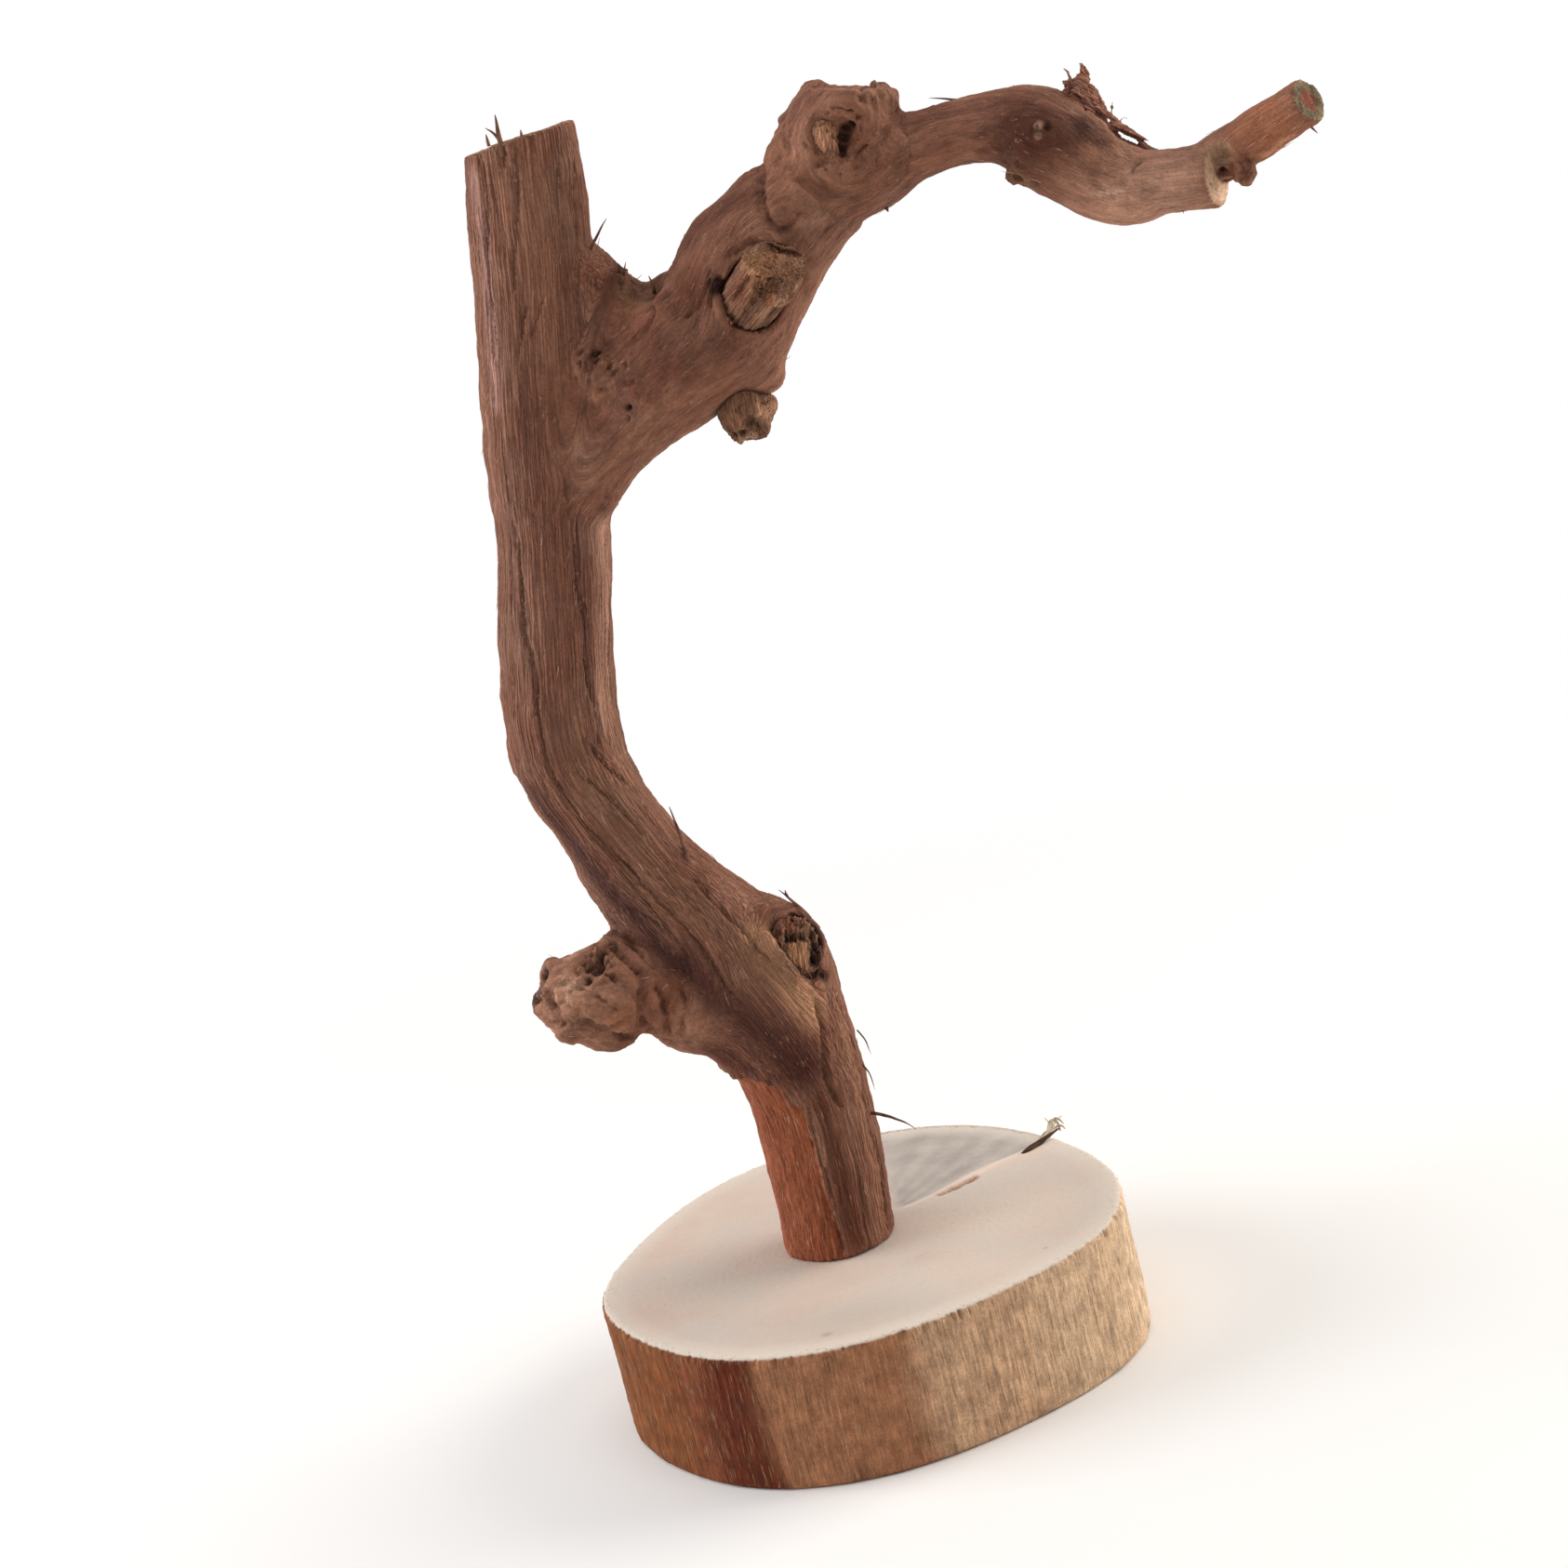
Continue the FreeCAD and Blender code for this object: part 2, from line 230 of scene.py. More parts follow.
def buildStudio():
    scene = bpy.context.scene
    scene.view_settings.view_transform = "Standard"
    tilt, lean = math.radians(studio["pitch"]), math.radians(studio["roll"])
    ahead = Vector((0, math.cos(tilt), -math.sin(tilt)))
    level, rise = Vector((1, 0, 0)), Vector((0, math.sin(tilt), math.cos(tilt)))
    right = level * math.cos(lean) - rise * math.sin(lean)
    up = level * math.sin(lean) + rise * math.cos(lean)
    camera = bpy.data.objects.new("camera", bpy.data.cameras.new("camera"))
    scene.collection.objects.link(camera)
    turn = Matrix((right, up, -ahead)).transposed().to_4x4()
    camera.matrix_world = Matrix.Translation(Vector(studio["stand"]) * mm) @ turn
    camera.data.sensor_width = studio["sensor"]
    camera.data.lens = studio["focalPixels"] / studio["framePixels"] * studio["sensor"]
    camera.data.clip_start, camera.data.clip_end = studio["clip"]
    scene.camera = camera

    world = bpy.data.worlds.new("paleRoom")
    scene.world = world
    world.use_nodes = True
    tree = world.node_tree
    tree.nodes.clear()
    strength = addNode(tree, "MapRange", {"Value": raysThatSee(tree), "To Min": studio["skyLight"], "To Max": 1.0})
    sky = addNode(tree, "Background", {"Color": (1, 1, 1, 1), "Strength": strength})
    addNode(tree, "OutputWorld", {"Surface": sky})

    for name, (place, size, share, colour) in studio["lamps"].items():
        lamp = bpy.data.lights.new(name, "AREA")
        lamp.shape, lamp.size = "SQUARE", size
        aim = Vector(studio["aim"]) - Vector(place)
        lamp.energy = share * math.pi ** 2 * aim.length_squared
        lamp.color = linear(colour)[:3]
        obj = bpy.data.objects.new(name, lamp)
        obj.location = place
        obj.rotation_euler = aim.to_track_quat("-Z", "Y").to_euler()
        scene.collection.objects.link(obj)

    span = studio["floorSpan"]
    form = bmesh.new()
    corners = ((-span, -span, 0), (span, -span, 0), (span, span, 0), (-span, span, 0))
    form.faces.new([form.verts.new(corner) for corner in corners])
    floor = newPiece("floor", form)
    paper, tree = newMaterial("white paper sweep")   # matt, fades to plain white away from the object
    place = addNode(tree, "TexCoord").outputs["Object"]
    reach = addNode(tree, "VectorMath", {0: place}, operation="LENGTH").outputs["Value"]
    near, far = studio["floorFade"]
    away = addNode(tree, "MapRange", {"Value": reach, "From Min": near, "From Max": far},
                   interpolation_type="SMOOTHSTEP")
    blend = addNode(tree, "Math", {0: raysThatSee(tree), 1: away}, operation="MULTIPLY")
    matt = addNode(tree, "BsdfDiffuse", {"Color": linear(studio["floorColour"])})
    white = addNode(tree, "Emission", {"Color": (1, 1, 1, 1), "Strength": 1.0})
    mixed = addNode(tree, "MixShader", {0: blend, 1: matt, 2: white})
    addNode(tree, "OutputMaterial", {"Surface": mixed})
    floor.data.materials.append(paper)


buildStudio()
print("studio ready")


# grain: centre lines of the limbs in mm (x, y, z, radius), and how clearly each shows its strands

limbs = {
    "stem": {"from": None, "strands": 1.0, "line": [
        (-3.3, -1, 26, 11.3), (-2.3, -2, 50, 11.9), (-2.1, -3, 66, 12.4), (-6, -3, 83, 15.4), (-13, -2, 99, 15.6),
        (-24, 1, 118, 12.1), (-30, 4, 134, 10.9), (-32.2, 5.2, 140.5, 11.2), (-33.8, 6, 148, 12),
        (-32.9, 7, 157.5, 11.9), (-28, 8, 180, 11.6), (-23.2, 8, 203, 12.4), (-19, 7, 226, 12.6),
        (-14.8, 5, 248, 12.2), (-11.2, 3, 274, 11.7)]},
    "arm": {"from": "stem", "strands": 0.3, "line": [
        (-19, 7, 202, 10.6), (-8, 5, 211, 10.4), (4, 3, 220, 13.6), (19.8, -1, 227.8, 15.1), (31.5, -4, 241.2, 13.1),
        (44, -7, 250, 11.8), (54.7, -9, 252.2, 9.5), (63, -10, 253, 6.9), (71, -12, 253.9, 6.3),
        (79.6, -14, 253.4, 7.2), (86.8, -17, 250.4, 9.8), (93.8, -20, 243.6, 9.2), (100, -23, 238, 7.9),
        (107.7, -27, 236.8, 6.2), (118, -33.5, 236.3, 6)]},
    "knuckle": {"from": "arm", "strands": 0.2, "line": [
        (45, -7, 250, 9.6), (50.2, -8, 259.3, 11.1), (56, -8, 269, 9.2)]},
    "twig": {"from": "arm", "strands": 0.45, "line": [
        (111, -28, 237, 4.2), (122, -32, 240.5, 4.9), (128.2, -37, 243.5, 4.8), (136, -44.7, 247.7, 4.5)]},
    "burl": {"from": "stem", "strands": 0.1, "line": [
        (-17, -4, 92.5, 13.5), (-31, -8, 98.3, 10), (-38.5, -10, 99.2, 11), (-52, -13, 104.5, 5)]},
}
# knots that the grain flows round: centre, way they face, radius, all mm
knots = [
    ((3.6, -12.8, 100.8), (0.53, -0.78, 0.34), 7.5), ((49, -18.2, 259.2), (0, -1, 0.1), 7.0),
    ((28, -15, 235), (-0.2, -0.9, 0.3), 8.0), ((19, -3, 211), (0, -0.2, -1), 5.5),
    ((86.2, -26.8, 251.7), (-0.17, -0.96, 0.22), 2.4), ((-31, -10, 98.5), (-0.9, -0.4, 0.2), 10.0),
    ((-3.5, -8, 217.5), (-0.4, -0.9, 0), 2.0),
]


# step along a limb in mm, smoothing passes, how sharply limbs share the grain, size and depth of a knot's eddy
grainMake = {
    "step": 0.8, "passes": 30, "hold": 13, "knotShare": 0.8, "knotStretch": 1.7, "knotDepth": 1.6,
    "block": 40000,   # points worked out at a time
}


def railOf(spec, parent=None):
    stations, step = np.array(spec["line"], float) * mm, grainMake["step"]
    reach = lengthsOf(stations[:, :3])
    path = placesAt(stations, reach, np.arange(0, reach[-1] + step / 2 * mm, step * mm))
    evenOut(path, grainMake["passes"])
    way = np.gradient(path[:, :3], axis=0)
    way /= np.linalg.norm(way, axis=1)[:, None]
    start, side = 0.0, Vector((1, 0, 0))
    if parent is not None:
        i = int(np.argmin(np.linalg.norm(parent["path"][:, :3] - path[0, :3], axis=1)))
        start = parent["run"][i]
        turn = Vector(parent["way"][i]).rotation_difference(Vector(way[0]))
        side = turn @ Vector(parent["side"][i])
    sides = []
    for w in way:
        side = (side - Vector(w) * side.dot(Vector(w))).normalized()
        sides.append(tuple(side))
    sides = np.array(sides)
    return {"path": path, "way": way, "side": sides, "other": np.cross(way, sides),
            "run": start + np.arange(len(path)) * step * mm, "strands": spec["strands"]}


def grainAt(points, rails, knotList):
    total = np.zeros(len(points)) + 1e-12
    coords, along, strands = np.zeros((len(points), 3)), np.zeros((len(points), 3)), np.zeros(len(points))
    for rail in rails.values():
        line = rail["path"][:, :3]
        near = np.zeros(len(points), int)
        for a in range(0, len(points), grainMake["block"]):
            block = points[a:a + grainMake["block"]]
            near[a:a + len(block)] = np.argmin((line ** 2).sum(1)[None] - 2 * block @ line.T, axis=1)
        offset = points - line[near]
        run = (offset * rail["way"][near]).sum(1)
        beyond = np.linalg.norm(offset, axis=1) / rail["path"][near, 3] - 1
        share = np.exp(-grainMake["hold"] * np.clip(beyond, -0.9, 6))
        spot = np.stack([(offset * rail["side"][near]).sum(1), (offset * rail["other"][near]).sum(1),
                         rail["run"][near] + run], axis=1)
        coords += share[:, None] * spot
        along += share[:, None] * rail["way"][near]
        strands += share * rail["strands"]
        total += share
    coords /= total[:, None]
    along /= np.linalg.norm(along, axis=1)[:, None] + 1e-12
    for centre, facing, radius in knotList:   # the strands part and close again round a knot
        centre, facing, radius = np.array(centre) * mm, np.array(facing, float), grainMake["knotShare"] * radius * mm
        gaps = {name: np.linalg.norm(rail["path"][:, :3] - centre, axis=1) for name, rail in rails.items()}
        name = min(rails, key=lambda name: np.min(gaps[name] / rails[name]["path"][:, 3]))
        best, i = rails[name], int(np.argmin(gaps[name]))
        across = np.cross(facing, best["way"][i])
        across /= np.linalg.norm(across)
        offset = points - centre
        sideways, lengthways = offset @ across, offset @ best["way"][i]
        deep = offset @ np.cross(across, best["way"][i])
        square = sideways ** 2 + (lengthways / grainMake["knotStretch"]) ** 2
        push = -sideways * radius ** 2 / np.maximum(square, radius ** 2)
        push *= np.exp(-(deep / (grainMake["knotDepth"] * radius)) ** 2)
        coords[:, 0] += push * (across @ best["side"][i])
        coords[:, 1] += push * (across @ best["other"][i])
    return coords, along, strands / total


branchRails = {}
for limbName, limb in limbs.items():
    branchRails[limbName] = railOf(limb, branchRails.get(limb["from"]))


midNoise = {"From Min": 0.3, "From Max": 0.7}   # most of a noise pattern lies between these
dryWood = {"IOR": 1.46, "Specular IOR Level": 0.25}   # faint shine of all the wood


# patterns that the relief and the colour share, so that dark lines lie in real grooves

def stretched(tree, grain, across, along, shift):
    scale = (1 / (across * mm), 1 / (across * mm), 1 / (along * mm))
    return addNode(tree, "VectorMath", {0: grain, 1: scale, 2: (shift,) * 3}, operation="MULTIPLY_ADD")


# cloudy streaks of a given width and length in mm
def strandPattern(tree, grain, across, along, detail=2.0, rough=0.55, shift=0.0):
    spot = stretched(tree, grain, across, along, shift)
    return addNode(tree, "TexNoise", {"Vector": spot, "Scale": 1.0, "Detail": detail, "Roughness": rough})


def wavyGrain(tree, grain):
    drift = strandPattern(tree, grain, 16, 34, 1.0, 0.5, 3.7).outputs[1]
    push = addNode(tree, "VectorMath", {0: drift, 1: (1.2 * mm, 1.2 * mm, 0), 2: (-0.6 * mm, -0.6 * mm, 0)},
                   operation="MULTIPLY_ADD")
    return addNode(tree, "VectorMath", {0: grain, 1: push}, operation="ADD")


# long thin strands: distance to the nearest seam and a chance value for each strand
def strandCells(tree, grain, across, along, shift=0.0):
    spot = stretched(tree, grain, across, along, shift)
    edge = addNode(tree, "TexVoronoi", {"Vector": spot, "Scale": 1.0}, feature="DISTANCE_TO_EDGE")
    cell = addNode(tree, "TexVoronoi", {"Vector": spot, "Scale": 1.0}, feature="F1")
    return edge, addNode(tree, "SeparateXYZ", {0: cell.outputs["Color"]})


def crackPattern(tree, grain):
    edge = strandCells(tree, grain, 5.0, 80, 11.3)[0]
    line = addNode(tree, "MapRange",
                   {"Value": edge, "From Min": 0.01, "From Max": 0.055, "To Min": 1.0, "To Max": 0.0})
    patch = strandPattern(tree, grain, 11, 60, 1.0, 0.5, 5.1)
    patch = addNode(tree, "MapRange", {"Value": patch, "From Min": 0.57, "From Max": 0.72})
    return addNode(tree, "Math", {0: line, 1: patch}, operation="MULTIPLY")


# short wrinkles where no strands show
def wrinklePattern(tree, grain):
    return strandPattern(tree, grain, 1.7, 5.0, 4.0, 0.62, 12.0)


def newTree(name, sizes, seeded=False):
    tree = bpy.data.node_groups.new(name, "GeometryNodeTree")
    tree.interface.new_socket("Geometry", in_out="OUTPUT", socket_type="NodeSocketGeometry")
    tree.interface.new_socket("Geometry", in_out="INPUT", socket_type="NodeSocketGeometry")
    for label in sizes:
        tree.interface.new_socket(label, in_out="INPUT", socket_type="NodeSocketFloat")
    if seeded:
        tree.interface.new_socket("Seed", in_out="INPUT", socket_type="NodeSocketInt")
    return tree, addNode(tree, "NodeGroupInput"), addNode(tree, "NodeGroupOutput")


def runTree(obj, tree, sizes):
    modifier = obj.modifiers.new(tree.name, "NODES")
    modifier.node_group = tree
    for item in tree.interface.items_tree:
        if item.in_out == "INPUT" and item.name in sizes:
            modifier[item.identifier] = sizes[item.name]
    settle(obj)


def buildRelief():
    kinds = ("Lump", "Flute", "Strand", "Line", "Wrinkle", "Crack", "Pit", "Grit")
    tree, start, end = newTree("woodRelief", [kind + " depth" for kind in kinds])
    layer = {}
    for name in ("worn", "strands", "lumpy"):
        layer[name] = addNode(tree, "GeometryNodeInputNamedAttribute", {"Name": name}, data_type="FLOAT")
    layer["smooth"] = addNode(tree, "Math", {0: 1.0, 1: layer["strands"]}, operation="SUBTRACT")
    grain = addNode(tree, "GeometryNodeInputNamedAttribute", {"Name": "grain"}, data_type="FLOAT_VECTOR")
    grain = wavyGrain(tree, grain)
    place = addNode(tree, "GeometryNodeInputPosition")
    # each layer: pattern, depth input, where it shows
    crown = addNode(tree, "MapRange", {"Value": strandCells(tree, grain, 0.65, 22)[0], "From Max": 0.35})
    layers = [
        (strandPattern(tree, place, 9, 9, 2.0, 0.5, 6.1), "Lump depth", "lumpy"),
        (strandPattern(tree, grain, 8, 95, 1.0, 0.5, 1.9), "Flute depth", "strands"),
        (wrinklePattern(tree, grain), "Wrinkle depth", "smooth"), (crown, "Strand depth", "strands"),
        (strandPattern(tree, grain, 0.9, 24, 2.0, 0.5), "Line depth", "strands"),
        (strandPattern(tree, place, 3.4, 3.4, 2.0, 0.55, 2.2), "Pit depth", "worn"),
        (strandPattern(tree, place, 1.3, 1.3, 2.0, 0.6, 8.8), "Grit depth", "worn"),
    ]
    total = None
    for pattern, label, where in layers:
        centred = addNode(tree, "Math", {0: pattern, 1: 0.5}, operation="SUBTRACT")
        deep = addNode(tree, "Math", {0: centred, 1: start.outputs[label]}, operation="MULTIPLY")
        deep = addNode(tree, "Math", {0: deep, 1: layer[where]}, operation="MULTIPLY")
        total = deep if total is None else addNode(tree, "Math", {0: total, 1: deep}, operation="ADD")
    crack = addNode(tree, "Math", {0: crackPattern(tree, grain), 1: layer["strands"]}, operation="MULTIPLY")
    crack = addNode(tree, "Math", {0: crack, 1: start.outputs["Crack depth"]}, operation="MULTIPLY")
    total = addNode(tree, "Math", {0: total, 1: crack}, operation="SUBTRACT")
    total = addNode(tree, "Math", {0: total, 1: mm}, operation="MULTIPLY")
    lift = addNode(tree, "VectorMath", {0: addNode(tree, "GeometryNodeInputNormal"), "Scale": total},
                   operation="SCALE")
    moved = addNode(tree, "GeometryNodeSetPosition", {"Geometry": start.outputs["Geometry"], "Offset": lift})
    tree.links.new(moved.outputs[0], end.inputs[0])
    return tree


reliefTree = buildRelief()


# carving shared by all wooden pieces

# step, wander and run-out in mm, then height, place and width of the lip and of the painted shade line in the groove
# as shares
grooveMake = {"step": 0.35, "wander": 0.05, "passes": 6, "runOut": 2.5, "lip": 0.16, "lipAt": 2.4, "lipWide": 1.2,
              "dark": 0.48, "darkWide": 0.7}


def stampGroove(points, normals, shade, path, half, depth, seed):
    chance = np.random.default_rng(seed)
    path, half = np.array(path) * mm, half * mm
    reach = lengthsOf(path)
    steps = np.arange(0, reach[-1], grooveMake["step"] * mm)
    line = placesAt(path, reach, steps)
    wander = np.cumsum(chance.normal(0, grooveMake["wander"] * mm, line.shape), axis=0)
    wander -= np.linspace(0, 1, len(line))[:, None] * wander[-1]
    evenOut(line, grooveMake["passes"])
    line += wander
    share = 0.55 + 0.45 * np.interp(steps, np.linspace(0, steps[-1], 12), chance.uniform(0, 1, 12))
    share *= np.clip(np.minimum(steps, steps[-1] - steps) / (grooveMake["runOut"] * mm) + 0.25, 0, 1)
    chosen = pointsInBox(points, line)
    if not len(chosen):
        return
    line = points[chosen][np.argmin(spanTable(points[chosen], line), axis=0)]   # laid onto the surface
    gap = spanTable(points[chosen], line)
    near = np.argmin(gap, axis=1)
    gap, share = gap[np.arange(len(chosen)), near], share[near]
    press = share * np.exp(-(gap / half) ** 2)
    lip = share * np.exp(-((gap - grooveMake["lipAt"] * half) / (grooveMake["lipWide"] * half)) ** 2)
    dark = grooveMake["dark"] * share * np.exp(-(gap / (grooveMake["darkWide"] * half)) ** 2)
    points[chosen] += normals[chosen] * ((grooveMake["lip"] * lip - press) * depth * mm)[:, None]
    shade[chosen] = np.maximum(shade[chosen], dark)


def sumDabs(points, along, dabs):
    colour, share = np.zeros((len(points), 3)), np.zeros(len(points))
    for place, reach, tone, strength, *stretch in dabs:
        if isinstance(place, list):   # a stripe along a path
            span = gapToPath(points, place)
        else:
            offset = points - np.array(place) * mm
            run = (offset * along).sum(1)
            span = np.sqrt(np.maximum((offset ** 2).sum(1) - run ** 2, 0) + (run / (stretch or [1])[0]) ** 2)
        top = strength * fade(span, reach * mm)
        joined = top + share * (1 - top)
        safe = np.maximum(joined, 1e-9)
        colour = (np.array(linear(tone)[:3]) * top[:, None] + colour * (share * (1 - top))[:, None]) / safe[:, None]
        share = joined
    return np.concatenate([colour, np.ones((len(points), 1))], axis=1), share


def growLumps(obj, lumps, seed):
    form = bmesh.new()
    form.from_mesh(obj.data)
    chance = np.random.default_rng(seed)
    for centre, half in lumps:
        ball = bmesh.ops.create_icosphere(form, subdivisions=4, radius=1.0)["verts"]
        waves = chance.normal(0, 1, (4, 3)) * 2.2
        for v in ball:
            bump = 1 + 0.07 * sum(math.sin(v.co.dot(Vector(w)) + i) for i, w in enumerate(waves))
            v.co = Vector(c * h * bump for c, h in zip(v.co, half)) * mm + Vector(centre) * mm
    form.to_mesh(obj.data)
    form.free()


# reach of stamps and of paint as shares, width and depth of a lip in mm, stretch and reach of tears, strength of the
# painted contact shade, seeds
carveMake = {"stampReach": 1.6, "paintReach": 1.3, "lipWide": 1.3, "lipDeep": 6,
             "tearStretch": 0.82, "tearReach": 0.85, "grimeAndShade": 0.9, "tearSeed": 31, "grooveSeed": 100}


# stamps, lips, tears and grooves move the surface; worn, shade and dabs go on as paint; then the relief is cut
def carve(obj, make, rails, knotList=(), extra=None):
    mesh = obj.data
    points, normals = pointsOf(mesh), pointsOf(mesh, "normal")
    shade = np.zeros(len(points))
    for place, reach, depth, dark in make.get("stamps", ()):
        place = points[np.argmin(gapTo(points, place))] / mm
        press = fade(gapTo(points, place), reach * mm * carveMake["stampReach"])
        points = points + normals * (press * depth * mm)[:, None]
        shade = np.maximum(shade, np.clip(press * 1.3, 0, 1) * dark)
    for centre, facing, radius, height in make.get("lips", ()):
        offset = points - np.array(centre) * mm
        facing = np.array(facing) / np.linalg.norm(facing)
        deep = offset @ facing
        span = np.linalg.norm(offset - deep[:, None] * facing, axis=1)
        level = np.cross(facing, (0, 0, 1))
        turn = np.arctan2(offset @ np.cross(facing, level), offset @ level)
        ridge = np.exp(-((span - radius * mm) / (carveMake["lipWide"] * mm)) ** 2)
        ridge *= np.exp(-(deep / (carveMake["lipDeep"] * mm)) ** 2)
        ridge *= 1 + 0.45 * np.sin(2 * turn + 1) + 0.3 * np.sin(5 * turn)
        points = points + normals * (ridge * height * mm)[:, None]
    chance = np.random.default_rng(carveMake["tearSeed"])
    for centre, reach, count, size, depth, dark in make.get("ragged", ()):
        gap = gapTo(points, centre)
        local = np.nonzero(gap < (reach + 4) * mm)[0]
        roots = np.nonzero(gap < reach * mm)[0]
        for root in chance.choice(roots, min(count, len(roots)), replace=False):
            wide, deep = size * chance.uniform(0.5, 1.4), depth * chance.uniform(-0.5, 1.0)
            tear = chance.normal(0, 1, 3)
            tear /= np.linalg.norm(tear)
            offset = points[local] - points[root]
            span = np.sqrt(np.maximum((offset ** 2).sum(1) - carveMake["tearStretch"] * (offset @ tear) ** 2, 0))
            press = fade(span, carveMake["tearReach"] * wide * mm)
            points[local] += normals[local] * (press * deep * mm)[:, None]
            if deep < 0:
                shade[local] = np.maximum(shade[local], press * dark * deep / depth)
    for node, reach in make.get("contacts", {}).items():   # painted shade where another piece sits in the wood
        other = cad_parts[node].data
        tree = BVHTree.FromPolygons([v.co.copy() for v in other.vertices], [list(p.vertices) for p in other.polygons])
        local = pointsInBox(points, pointsOf(other))
        gap = np.array([tree.find_nearest(Vector(points[i]))[3] for i in local])
        shade[local] = np.maximum(shade[local], carveMake["grimeAndShade"] * fade(gap, reach * mm))
    for i, (path, half, depth) in enumerate(make.get("grooves", {}).values()):
        stampGroove(points, normals, shade, path, half, depth, carveMake["grooveSeed"] + i)
    coords, along, strands = grainAt(points, rails, knotList)
    layers = {name: np.zeros(len(points)) for name in ("worn", "bare", "cut", "ring")}
    layers.update(hairy=np.full(len(points), make.get("hairy", 0.0)), shade=shade, strands=strands,
                  lumpy=np.ones(len(points)))
    for kind, name in (("worn", "worn"), ("frayed", "hairy")):
        for place, reach, strength in make.get(kind, ()):
            spot = fade(gapTo(points, place), reach * mm * carveMake["paintReach"])
            layers[name] = np.maximum(layers[name], strength * spot)
    if extra:
        extra(points, normals, layers)
    movePoints(mesh, points)
    colour, share = sumDabs(points, along, make["dabs"])
    if "over" in layers:   # colours of sawn ends lie over the dabs
        over = layers.pop("over")
        top = over[:, 3:]
        joined = top + share[:, None] * (1 - top)
        colour[:, :3] = (over[:, :3] * top + colour[:, :3] * share[:, None] * (1 - top)) / np.maximum(joined, 1e-9)
        share = joined[:, 0]
    paint(mesh, "grain", coords, "FLOAT_VECTOR")
    paint(mesh, "along", along, "FLOAT_VECTOR")
    paint(mesh, "tint", colour, "FLOAT_COLOR")
    paint(mesh, "tintShare", share)
    for name, values in layers.items():
        paint(mesh, name, values)
    runTree(obj, reliefTree, make["relief"])
    thinned(obj, make["triangles"], layers.get("plain"))


strandTriangles = 150000   # most triangles in a piece made of loose strands


# swept strands: splinters, fibres and bark strips; width and thickness in mm, flat side faces the given way
def addStrand(form, path, width, thick, facing=(0, -1, 0), tip=0.12, sides=8, wander=0.0, seed=0):
    path = np.array(path, float)
    reach = lengthsOf(path)
    count = max(6, int(reach[-1] / max(0.5, 0.5 * thick)))
    line = placesAt(path, reach, np.linspace(0, reach[-1], count))
    evenOut(line, max(2, count // 3))
    wobble = np.random.default_rng(seed).normal(0, 1, (count, 4))
    evenOut(wobble, 4)
    line[1:] += wobble[1:, :3] * wander
    way = np.gradient(line, axis=0)
    rows = []
    for i in range(count):
        ahead = Vector(way[i]).normalized()
        flat = Vector(facing)
        flat = (flat - ahead * flat.dot(ahead)).normalized()
        side = ahead.cross(flat)
        t = i / (count - 1)
        swell = (1 - t ** 2.2) * (1 - tip) + tip
        swell *= 1 + 0.35 * min(1, wander * 3) * wobble[i, 3]
        ring = []
        for k in range(sides):
            a = 2 * math.pi * k / sides
            spot = Vector(line[i]) + side * (math.cos(a) * width / 2 * swell)
            ring.append(form.verts.new((spot + flat * (math.sin(a) * thick / 2 * swell)) * mm))
        rows.append(ring)
    for a, b in zip(rows, rows[1:]):
        for k in range(sides):
            form.faces.new((a[k], a[(k + 1) % sides], b[(k + 1) % sides], b[k]))
    form.faces.new(rows[0][::-1])
    form.faces.new(rows[-1])


# branch

